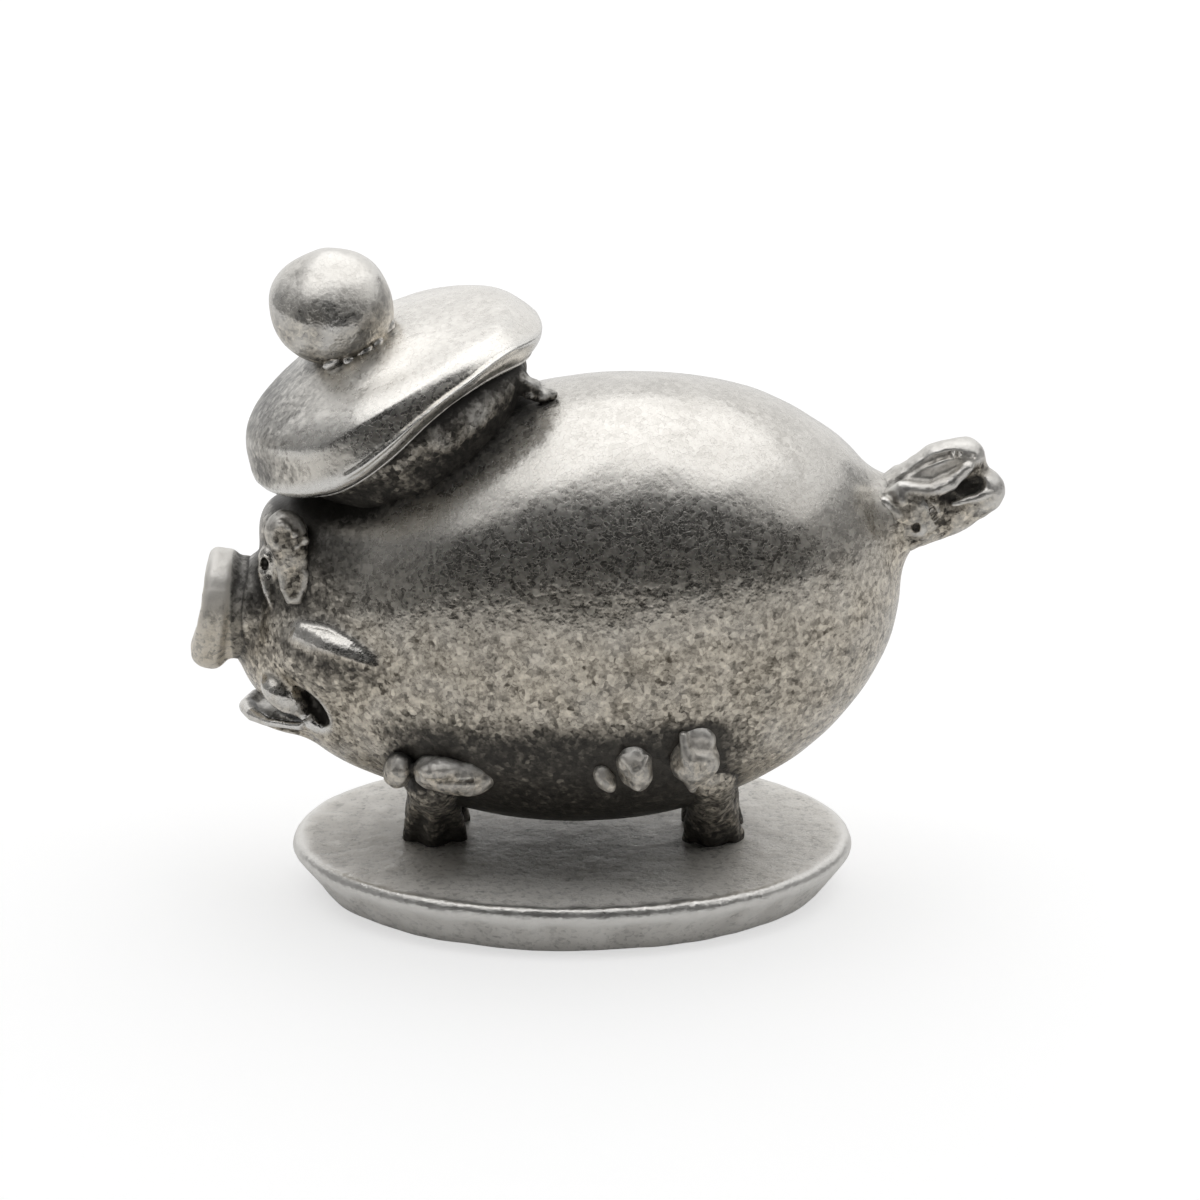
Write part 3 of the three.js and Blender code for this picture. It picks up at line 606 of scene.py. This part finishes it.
for hand, out in (("left", -1), ("right", 1)):
    leg_clay = Clay()
    leg_clay.rope([(-6.8, out * 5.4, 7.4), (-6.9, out * 2.4, 5.2), (-6.95, out * 1.0, 2.4)], [1.5, 1.1, 0.9])

    # The small toe, and the big one with a bulge and a crease
    leg_clay.lump((-8.5, out * 6.75, 8.5), (1.5, 2.2, 1.9), (0, 20, 0), fillet=0.15)
    leg_clay.lump((-5.72, out * 7.35, 8.5), (4.2, 2.5, 2.25), (0, 6, 0), fillet=0.15)
    leg_clay.lump((-6.4, out * 7.95, 9.0), (2.3, 1.5, 1.1), (0, -6, 0), fillet=0.12)
    leg_clay.groove([(-7.4, out * 8.45, 8.5), (-5.8, out * 8.65, 8.55), (-4.4, out * 8.45, 8.45)],
                    [0.1, 0.16, 0.08], fillet=0.12)
    flare_foot(leg_clay, FRONT_ROOTS, out)
    leg = cast_leg(leg_clay, f"front_{hand}_leg")
    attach(leg, "root")
    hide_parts(f"front_{hand}_leg")


# Rear legs: the same kind of casting, soldered to the base in the same way. Each has three toes, the last one
# a big leaf, and a thin web behind the foot.
REAR_ROOTS = [((6.4, 3.2, 5.4), (5.9, 1.3, 2.6)), ((7.0, 3.6, 5.6), (6.9, 1.8, 2.6)),
              ((7.6, 3.0, 5.0), (8.2, 1.3, 2.6))]
for hand, out in (("left", -1), ("right", 1)):
    leg_clay = Clay()
    leg_clay.rope([(6.8, out * 6.2, 8.2), (7.0, out * 2.8, 4.9), (7.1, out * 1.0, 2.4)], [1.4, 1.0, 0.9])

    # The leaf, with a ridge along it and a nick in its top
    leg_clay.rope([(6.1, out * 8.45, 10.8), (6.0, out * 8.6, 9.7), (5.95, out * 8.2, 8.0)], [0.9, 1.25, 0.2],
                  fillet=0.15)
    leg_clay.rope([(5.45, out * 9.3, 11.2), (5.7, out * 9.75, 9.7), (5.9, out * 8.8, 8.3)], [0.2, 0.22, 0.15])
    leg_clay.groove([(6.1, out * 9.2, 11.9), (6.1, out * 9.6, 10.9)], [0.2, 0.12], fillet=0.12)

    # The middle toe with three ridges, and the small one
    leg_clay.lump((3.1, out * 8.95, 9.5), (1.75, 1.8, 2.6), (0, -12, 0), fillet=0.15)
    for tip in ((2.55, 10.2), (3.65, 10.2), (3.2, 8.5)):
        leg_clay.rope([(3.1, out * 9.75, 9.5), (tip[0], out * 9.5, tip[1])], [0.2, 0.15], fillet=0.15)
    leg_clay.lump((1.65, out * 8.7, 8.8), (0.9, 1.4, 1.6), (0, -24, 0), fillet=0.15)

    # The web
    leg_clay.rope([(7.9, out * 3.4, 6.4), (8.2, out * 1.7, 4.2), (8.4, out * 1.0, 2.7)], [0.25, 0.2, 0.3])
    flare_foot(leg_clay, REAR_ROOTS, out)
    leg = cast_leg(leg_clay, f"rear_{hand}_leg")
    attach(leg, "root")
    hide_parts(f"rear_{hand}_leg")


# Base plate: an oval plate of cast pewter. Its edge draws in towards the underside so that it leaves the
# mould, and its rim is worn bright.
BASE_LENGTH = 28.3
BASE_WIDTH = 21.6
BASE_THICKNESS = 2.6
BASE_DRAFT = 1.4
BASE_RIM = 0.55
BASE_CHAMFER = 0.15
BASE_CROWN = 0.05


def turned(profile, gap, steps):
    """A shape turned about Z from a profile of (radius, height) points, with no edge longer than the gap."""
    shape = bmesh.new()
    corners = [shape.verts.new((radius, 0, height)) for radius, height in profile]
    for edge in [shape.edges.new(pair) for pair in zip(corners, corners[1:])]:
        cuts = int(edge.calc_length() / gap)
        if cuts:
            bmesh.ops.subdivide_edges(shape, edges=[edge], cuts=cuts)
    whole = shape.verts[:] + shape.edges[:]
    bmesh.ops.spin(shape, geom=whole, cent=(0, 0, 0), axis=(0, 0, 1), angle=math.tau, steps=steps,
                   use_merge=True)
    bmesh.ops.remove_doubles(shape, verts=shape.verts, dist=1e-4)
    bmesh.ops.recalc_face_normals(shape, faces=shape.faces)
    return shape


foot_radius = BASE_LENGTH / 2 - BASE_DRAFT
base_line = [(0, 0), (foot_radius - BASE_CHAMFER, 0), (foot_radius, BASE_CHAMFER)]
for degrees in range(-15, 91, 15):
    angle = math.radians(degrees)
    base_line.append((BASE_LENGTH / 2 - BASE_RIM + BASE_RIM * math.cos(angle),
                      BASE_THICKNESS - BASE_RIM + BASE_RIM * math.sin(angle)))
base_line.append((0, BASE_THICKNESS + BASE_CROWN))
base_shape = turned(base_line, 0.25, 240)
bmesh.ops.scale(base_shape, vec=(1, BASE_WIDTH / BASE_LENGTH, 1), verts=base_shape.verts)
base_mesh = own_mesh("base_cast", base_shape)
uneven(base_mesh, [(4.0, 0.07), (1.2, 0.04)])
base_pewter = pewter("base_pewter", patina_and_shade=-0.3, polish=0.35, grain=3.0, roughness=0.45, matt=0.85)
base = piece_from(base_mesh, "base_cast", base_pewter)
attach(base, "root")
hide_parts("base_plate")


# Bonnet band: the collar under the bonnet, cast in pewter. It is rough and painted dark as painted shade
# under the bonnet, and ragged flash is left where it was soldered to the back of the head.
BONNET_MIDDLE = (-8.9, 0, 26.05)
BONNET_TURN = (6, -24, 0)
BONNET_PLACE = (Matrix.Translation(BONNET_MIDDLE) @ Matrix.Rotation(math.radians(BONNET_TURN[0]), 4, "X")
                @ Matrix.Rotation(math.radians(BONNET_TURN[1]), 4, "Y"))
BAND = (BONNET_PLACE @ Vector((0, 0, -1.3)), (13.2, 12.6, 5.4), BONNET_TURN)
FLASH_NIBS = [(-0.95, -1.8, 26.2), (-1.4, -2.1, 26.2), (-2.1, -2.2, 26.3), (-1.8, -1.9, 26.8)]

band_clay = Clay()
band_clay.lump(*BAND, fillet=0.5)
band_clay.lump(BONNET_PLACE @ Vector((0, 0, -3.0)), (11.0, 10.8, 4.4), BONNET_TURN, fillet=1.0)
band_clay.rope([(-4.2, -1.0, 28.0), (-2.8, -1.4, 27.1), (-1.7, -1.7, 26.4)], [0.9, 0.6, 0.25], fillet=0.3)
band_clay.lump((-2.3, -1.9, 26.7), (2.8, 0.6, 1.1), (0, 33, 0), fillet=0.2)
band_clay.rope([(-3.2, -2.1, 27.4), (-2.2, -2.15, 26.95), (-1.5, -2.0, 26.5), (-1.0, -1.8, 26.2)],
               [0.14, 0.12, 0.15, 0.2], fillet=0.1)
for nib in FLASH_NIBS:
    band_clay.lump(nib, (0.6, 0.4, 0.5), fillet=0.15)
band_mesh = band_clay.cast("bonnet_band_cast", 0.12)
uneven(band_mesh, [(1.4, 0.12)])
# A high patina paints the band dark, as painted shade under the bonnet.
band_pewter = pewter("band_pewter", patina_and_shade=0.9, polish=0.0, grain=1.4, roughness=0.6, matt=0.2)
band = piece_from(band_mesh, "bonnet_band_cast", band_pewter)
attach(band, "root")
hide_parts("bonnet_band")


# Bonnet: a flat domed cap of cast pewter, polished on top, that leans forward and to the animal's left. The
# thin fin on its rim is flash from where the two halves of the mould met.
BONNET_RADIUS = 8.0
BONNET_RIM = 8.1
BONNET_PROFILE = [(0, 3.15), (2.0, 3.1), (3.2, 2.9), (5.3, 2.25), (6.6, 1.75), (7.35, 1.2), (7.8, 0.5),
                  (8.05, -0.2), (BONNET_RIM, -0.55), (7.9, -0.95), (7.3, -1.3), (6.4, -1.5), (0, -1.5)]
FRONT_DROOP = 0.5
REAR_BULGE = 0.25
NEAR_LIFT = 1.2
NEAR_PINCH = 0.12
NEAR_FLAT = 0.14
FLAT_TOP = 1.2
FIN_HEIGHT = 0.3
FIN_LEVEL = -0.55
FIN_THICKNESS = 0.05
FIN_GAP = 0.12
FIN_BEARING = -68
FIN_SPREAD = 40


def smooth_through(points, gap):
    """Points along a smooth curve through the given ones, about a gap apart."""
    points = np.array(points, dtype=float)
    padded = np.concatenate([2 * points[:1] - points[1:2], points, 2 * points[-1:] - points[-2:-1]])
    curve = []
    for before, start, end, after in zip(padded, padded[1:], padded[2:], padded[3:]):
        count = max(1, round(np.linalg.norm(end - start) / gap))
        for t in np.arange(count) / count:
            curve.append(start + 0.5 * t * (end - before + t * (2 * before - 5 * start + 4 * end - after
                                                                + t * (3 * (start - end) + after - before))))
    return [tuple(point) for point in curve] + [tuple(points[-1])]


def eased(value):
    """0 below 0, 1 above 1 and smooth between."""
    value = min(1, max(0, value))
    return value * value * (3 - 2 * value)


# The line of the cap is opened at the fin's level, and four rings for the fin go in there.
bonnet_line = smooth_through(BONNET_PROFILE, 0.12)
bonnet_line = [(r, z) for r, z in bonnet_line if r < 7 or abs(z - FIN_LEVEL) > FIN_GAP]
fin_spot = next(k for k, (r, z) in enumerate(bonnet_line) if z < FIN_LEVEL)
fin_rings = [FIN_LEVEL + step * FIN_THICKNESS for step in (1.5, 0.5, -0.5, -1.5)]
bonnet_line[fin_spot:fin_spot] = [(BONNET_RIM, z) for z in fin_rings]
bonnet_shape = turned(bonnet_line, 0.25, 300)
for vertex in bonnet_shape.verts:
    x, y, z = vertex.co
    from_fin = abs(math.degrees(math.atan2(y, x)) - FIN_BEARING) / FIN_SPREAD
    near = eased(-y / 4)
    if abs(z - FIN_LEVEL) < FIN_THICKNESS and from_fin < 1:
        vertex.co.xy *= 1 + FIN_HEIGHT / BONNET_RADIUS * math.sqrt(1 - from_fin)
    if FIN_LEVEL < z < FLAT_TOP:
        hollowed = math.sin(math.pi * (z - FIN_LEVEL) / (FLAT_TOP - FIN_LEVEL))
        vertex.co.xy *= 1 - NEAR_FLAT / BONNET_RADIUS * near * hollowed
    lift = eased((x + 4) / 8) * eased(-y / 6)
    vertex.co.y *= 1 - NEAR_PINCH * lift
    vertex.co.z += NEAR_LIFT * lift * eased((2.4 - z) / 2.6)
    vertex.co.z += FRONT_DROOP * eased((1 - z) / 2) * x / BONNET_RADIUS
    vertex.co.z += REAR_BULGE * eased((z + 0.5) / 2.5) * math.hypot(x, y) * x / BONNET_RADIUS**2
bmesh.ops.transform(bonnet_shape, matrix=BONNET_PLACE, verts=bonnet_shape.verts)
bonnet_mesh = own_mesh("bonnet_cast", bonnet_shape)
uneven(bonnet_mesh, [(4.5, 0.16), (1.5, 0.03)])
bonnet_pewter = pewter("bonnet_pewter", patina_and_shade=-0.2, polish=0.18, grain=0.8, roughness=0.3)
bonnet = piece_from(bonnet_mesh, "bonnet_cast", bonnet_pewter)
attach(bonnet, "root")
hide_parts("bonnet")


# Toorie: the ball on the bonnet, a lumpy pewter casting with a rough seam of solder where it sits. Two soft
# flats are worn high on its left.
TOORIE_MIDDLE = BONNET_PLACE @ Vector((-0.8, 0, 5.15))
FLATS = [((-0.5, -0.45, 0.75), 2.6), ((0.2, -0.6, 0.77), 2.65)]
FLAT_BALL = 20
SOLDER_BITS = [((0.1, -2.0, -2.35), (1.0, 0.6, 0.35)), ((0.9, -2.05, -2.25), (0.5, 0.6, 0.5)),
               ((1.6, -1.8, -1.9), (1.0, 0.7, 0.4)), ((2.2, -1.5, -1.5), (0.6, 0.6, 0.6)),
               ((2.65, -0.8, -0.95), (0.9, 0.6, 0.4))]

toorie_clay = Clay()
toorie_clay.lump(TOORIE_MIDDLE, (6.0, 5.5, 5.6), fillet=1.0)
toorie_clay.lump(TOORIE_MIDDLE + Vector((0.1, -0.1, -0.8)), (4.7, 5.0, 3.6), fillet=1.0)
for facing, depth in FLATS:
    ball_middle = TOORIE_MIDDLE + Vector(facing).normalized() * (depth + FLAT_BALL / 2)
    toorie_clay.hollow(ball_middle, (FLAT_BALL, FLAT_BALL, FLAT_BALL), fillet=1.0)
for seat, size in SOLDER_BITS:
    toorie_clay.lump(TOORIE_MIDDLE + Vector(seat), size, (0, -35, 0), fillet=0.1)
toorie_mesh = toorie_clay.cast("toorie_cast", 0.12)
uneven(toorie_mesh, [(3.0, 0.22), (1.0, 0.04)])
toorie_pewter = pewter("toorie_pewter", patina_and_shade=-0.05, polish=0.05, grain=1.2, roughness=0.38)
toorie = piece_from(toorie_mesh, "toorie_cast", toorie_pewter)
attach(toorie, "root")
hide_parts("toorie")


# Patina and painted light: the dark wax that is rubbed over the whole figurine and wiped off again stays in
# every recess and leaves the edges bright, and shade and highlights are painted over it. Each point of a
# piece gets how shaded, hollow, worn and wiped it is.
SHADE_REACH = 0.0025
BASE_SHADE_REACH = 0.006
EDGE_REACH = 0.0004
EDGE_HEIGHT = 0.00012
RAYS = 12
GOLDEN_ANGLE = 2.4
castings = [piece for piece in bpy.data.objects if piece.name.endswith("_cast")]
all_points = []
all_faces = []
for piece in castings:
    start = len(all_points)
    all_points += [vertex.co for vertex in piece.data.vertices]
    all_faces += [[start + corner for corner in face.vertices] for face in piece.data.polygons]
surroundings = BVHTree.FromPolygons(all_points, all_faces)
ray_fan = []
for k in range(RAYS):
    up = math.sqrt((k + 0.5) / RAYS)
    out = math.sqrt(1 - up * up)
    ray_fan.append(Vector((out * math.cos(GOLDEN_ANGLE * k), out * math.sin(GOLDEN_ANGLE * k), up)))


def averaged(values, edges, rounds):
    """Values at a mesh's points, averaged with their neighbours' a number of times."""
    ends = np.concatenate([edges[:, 0], edges[:, 1]])
    others = np.concatenate([edges[:, 1], edges[:, 0]])
    count = len(values)
    neighbours = np.maximum(np.bincount(ends, minlength=count), 1)
    for _ in range(rounds):
        values = np.stack([np.bincount(ends, column[others], count) / neighbours for column in values.T], 1)
    return values


def shaded(point, normal, reach):
    """How closed in a point is: 0 in the open, and towards 1 with surfaces close round it."""
    turn = normal.to_track_quat("Z", "Y").to_matrix()
    origin = point + normal * 0.00002
    closed = 0.0
    for ray in ray_fan:
        distance = surroundings.ray_cast(origin, turn @ ray, reach)[3]
        if distance is not None:
            closed += 1 - distance / reach
    return closed / RAYS


def grows(values, start, end):
    """0 up to the start, 1 from the end on and an even slope between."""
    return np.clip((values - start) / (end - start), 0, 1)


def fades(values, start, end):
    """1 up to the start, 0 from the end on and an even slope between."""
    return 1 - grows(values, start, end)


def apart(points, middle, size=1):
    """How far points are from a middle, in millimetres or in shares of a size along each axis."""
    return np.linalg.norm((points - np.array(middle)) / size, axis=1)


for piece in castings:
    mesh = piece.data
    points = points_of(mesh)
    normals = points_of(mesh, "normal")
    edges = np.empty(len(mesh.edges) * 2, dtype=np.int64)
    mesh.edges.foreach_get("vertices", edges)
    edges = edges.reshape(-1, 2)
    spacing = np.linalg.norm(points[edges[:, 0]] - points[edges[:, 1]], axis=1).mean()
    rounds = max(2, int(2 * (EDGE_REACH / spacing) ** 2))
    depth = ((averaged(points, edges, rounds) - points) * normals).sum(1) / EDGE_HEIGHT
    # The base reaches further, for painted shade under the belly.
    reach = BASE_SHADE_REACH if piece == base else SHADE_REACH
    # Painted shade, partly patina: the more other surfaces close round a point, the darker it is painted.
    shade = np.array([shaded(Vector(p), Vector(n), reach) for p, n in zip(points, normals)])
    shade = averaged(shade[:, None], edges, 2)[:, 0]
    facing = averaged(normals, edges, rounds)[:, 2]
    worn = np.clip(-depth, 0, 1)
    # Up-facing points count as wiped clean, and the metal is painted lighter there, a painted light from
    # above.
    wiped = 0.5 + 0.5 * facing
    spots = points * 1000
    ahead = -spots[:, 0]
    aside = np.abs(spots[:, 1])
    height = spots[:, 2]

    if piece == base:
        worn = np.clip(2 * worn, 0, 1) * grows(height, 0.3, 0.9)
        wiped = np.full(len(points), 0.8)
    if piece.name.endswith("_leg_cast"):
        # Painted shade on the feet under the belly, where its shadow falls.
        foot = np.maximum(fades(height, 6.8, 7.8), fades(aside, 6.9, 7.9))
        shade += 0.7 * foot
        worn *= 0.45 * (1 - 0.7 * foot)
    if piece.name.endswith("_ear_cast"):
        worn *= 0.5
    if piece == tail:
        worn *= 0.7
        # The hollow leaf of the upper fold is painted lighter.
        shade -= 0.6 * fades(apart(spots, LEAF_MIDDLE, (1.2, 9, 0.7)), 0.6, 1.6)
    if piece == bonnet:
        wiped = np.maximum(wiped, 0.68)
        # Painted shade towards the front, in place of a darker reflection, and painted shade under the rim
        # below the fin.
        shade += grows(ahead, 10, 15)
        shade += 0.8 * grows(-facing, 0.2, 0.4) * fades(ahead, 11.5, 13)
    if piece == snout:
        # The snout is painted darker behind its flat face, and painted shade, partly patina, fills the
        # nostrils.
        shade += 0.75 * fades(ahead, 16.85, 17)
        worn *= 0.35
        for nostril in NOSTRILS:
            shade += 0.9 * (apart(spots, nostril, (0.72, 0.55, 0.7)) < 1)
    if piece == body:
        # Painted shade and dark reflection under the belly, darker over the face, and painted shade round the
        # bonnet's band
        # Painted shade and dark reflection under the belly: the more a point faces down, the darker.
        under = grows(-facing, 0.04, 0.26) * fades(height, 11.5, 13)
        shade += 1.05 * under * grows(ahead, -10, -7) * fades(ahead, 7.5, 10.5)
        face = grows(ahead, 8.5, 12) * grows(height, 11.7, 12.5) * (height < 22)
        shade += (0.42 + 0.25 * grows(height, 15, 16)) * face
        # Painted shade round the bonnet's band, under the bonnet.
        shade += 0.6 * fades(to_ellipsoid(spots, *BAND), 0, 2)

        # On the cheeks: a painted highlight along the top of each ledge, and painted shade below it
        for ledge in LEDGES:
            away = to_rope(spots, ledge, LEDGE_RADII)
            shade += 0.35 * fades(away, 0.6, 1.6) * fades(height, 13.9, 14.5)
            ledge_highlight = fades(away, 0.2, 0.6) * grows(facing, 0.05, 0.25)
            shade -= 1.2 * ledge_highlight
            worn = np.maximum(worn * grows(away, 0.3, 1.3), 0.65 * ledge_highlight)
            wiped = np.minimum(wiped, 1 - 0.35 * ledge_highlight)
            depth *= grows(away, 0.2, 1.2)

        # Pale lips, painted shade and patina in the mouth, and pale eyes with pupils painted black as the
        # shade of deep holes
        for lip in LIPS:
            shade -= 0.6 * fades(apart(spots, lip), 1, 2)
        for cut in MOUTH:
            shade += 0.8 * fades(to_ellipsoid(spots, *cut), 0, 0.12) * (height < 11.6)
        for pupil in PUPILS:
            eye = fades(apart(spots, pupil), 0.42, 1.12)
            shade -= 1.3 * eye
            worn = np.maximum(worn, 0.5 * eye)
            # The pupils are painted black, the shade of a deep hole over a shallow one.
            shade += 5 * (apart(spots, pupil, (0.2, 0.4, 0.33)) < 1)
    hollow = np.clip(depth, 0, 1)
    for name, values in (("shade", shade), ("hollow", hollow), ("worn", worn), ("wiped", wiped)):
        layer = mesh.attributes.new(name, "FLOAT", "POINT")
        layer.data.foreach_set("value", values.astype(np.float32))


# Studio: a white floor under an even white sky, and one soft lamp overhead. A dark card behind the camera,
# narrow at the top, gives the metal its dark band, and a grey card off each end of the animal dulls the ends.
FLOOR_RADIUS = 3.0
FLOOR_WHITE = (0.5, 0.5, 0.5, 1)
FLOOR_GLOW = (0.6, 0.6, 0.6, 1)
BLACK = (0, 0, 0, 1)
GLOW_IN_METAL = 0.6
LAMP_WATTS = 2.2
LAMP_SIZE = 1.2

floor_shape = bmesh.new()
bmesh.ops.create_circle(floor_shape, cap_ends=True, segments=64, radius=FLOOR_RADIUS)
floor = bpy.data.objects.new("floor", own_mesh("floor", floor_shape))
bpy.context.scene.collection.objects.link(floor)
floor_material = bpy.data.materials.new("floor_white")
floor_material.use_nodes = True
floor_material.node_tree.nodes.clear()
wire = Wire(floor_material.node_tree)
seen = wire.maths("MAXIMUM", wire.node("ShaderNodeLightPath", output="Is Camera Ray"),
                  wire.node("ShaderNodeLightPath", output="Is Glossy Ray") * GLOW_IN_METAL)
seen = wire.maths("MAXIMUM", seen, wire.node("ShaderNodeLightPath", output="Is Transmission Ray"))
paint = wire.node("ShaderNodeBsdfDiffuse", None, {"Color": FLOOR_WHITE})
glow = wire.node("ShaderNodeEmission", None, {"Color": seen.mix(BLACK, FLOOR_GLOW)})
lit = wire.node("ShaderNodeAddShader", None, {0: paint, 1: glow})
wire.node("ShaderNodeOutputMaterial", None, {"Surface": lit})
floor.data.materials.append(floor_material)

CARDS = [("dark_card", 0.035, 0, (3.2, 1.25), 0.1, (0, -0.47, 0.67)),
         ("left_card", 0.42, 90, (1.2, 0.8), 1.0, (-0.7, 0.0, 0.41)),
         ("right_card", 0.45, 90, (1.2, 0.4), 1.0, (0.7, 0.3, 0.21))]
for name, grey, turn, size, top_share, place in CARDS:
    card_shape = bmesh.new()
    bmesh.ops.create_grid(card_shape, x_segments=1, y_segments=1, size=0.5)
    for vertex in card_shape.verts:
        vertex.co.x *= top_share if vertex.co.y > 0 else 1
    stand = Matrix.Rotation(math.radians(turn), 4, "Z") @ Matrix.Rotation(math.pi / 2, 4, "X")
    stand = Matrix.Translation(place) @ stand @ Matrix.Diagonal((*size, 1, 1))
    bmesh.ops.transform(card_shape, matrix=stand, verts=card_shape.verts)
    card = bpy.data.objects.new(name, own_mesh(name, card_shape))
    bpy.context.scene.collection.objects.link(card)
    card_material = bpy.data.materials.new(name)
    card_material.use_nodes = True
    card_material.node_tree.nodes.clear()
    wire = Wire(card_material.node_tree)
    paint = wire.node("ShaderNodeBsdfDiffuse", None, {"Color": (grey, grey, grey, 1)})
    wire.node("ShaderNodeOutputMaterial", None, {"Surface": paint})
    card.data.materials.append(card_material)
    card.visible_camera = False

sky = bpy.data.worlds.new("white_sky")
sky.use_nodes = True
sky.node_tree.nodes["Background"].inputs["Color"].default_value = (1, 1, 1, 1)
sky.node_tree.nodes["Background"].inputs["Strength"].default_value = 1.0
bpy.context.scene.world = sky

lamp_data = bpy.data.lights.new("overhead_lamp", "AREA")
lamp_data.shape = "DISK"
lamp_data.size = LAMP_SIZE
lamp_data.energy = LAMP_WATTS
lamp = bpy.data.objects.new("overhead_lamp", lamp_data)
lamp.location = (0.0, 0.15, 0.8)
bpy.context.scene.collection.objects.link(lamp)


# Camera: at the photograph's angle, looking a little down on the animal's left side.
LOOK_AT = Vector((0.0014, 0, 0.01495))
ELEVATION = math.radians(19)
DISTANCE = 0.26
camera_data = bpy.data.cameras.new("camera")
camera_data.sensor_width = 36
camera_data.lens = 156
camera_data.clip_start = 0.01
camera = bpy.data.objects.new("camera", camera_data)
camera.location = LOOK_AT + Vector((0, -math.cos(ELEVATION), math.sin(ELEVATION))) * DISTANCE
camera.rotation_euler = (math.pi / 2 - ELEVATION, 0, 0)
bpy.context.scene.collection.objects.link(camera)
bpy.context.scene.camera = camera
bpy.context.scene.view_settings.view_transform = "Standard"
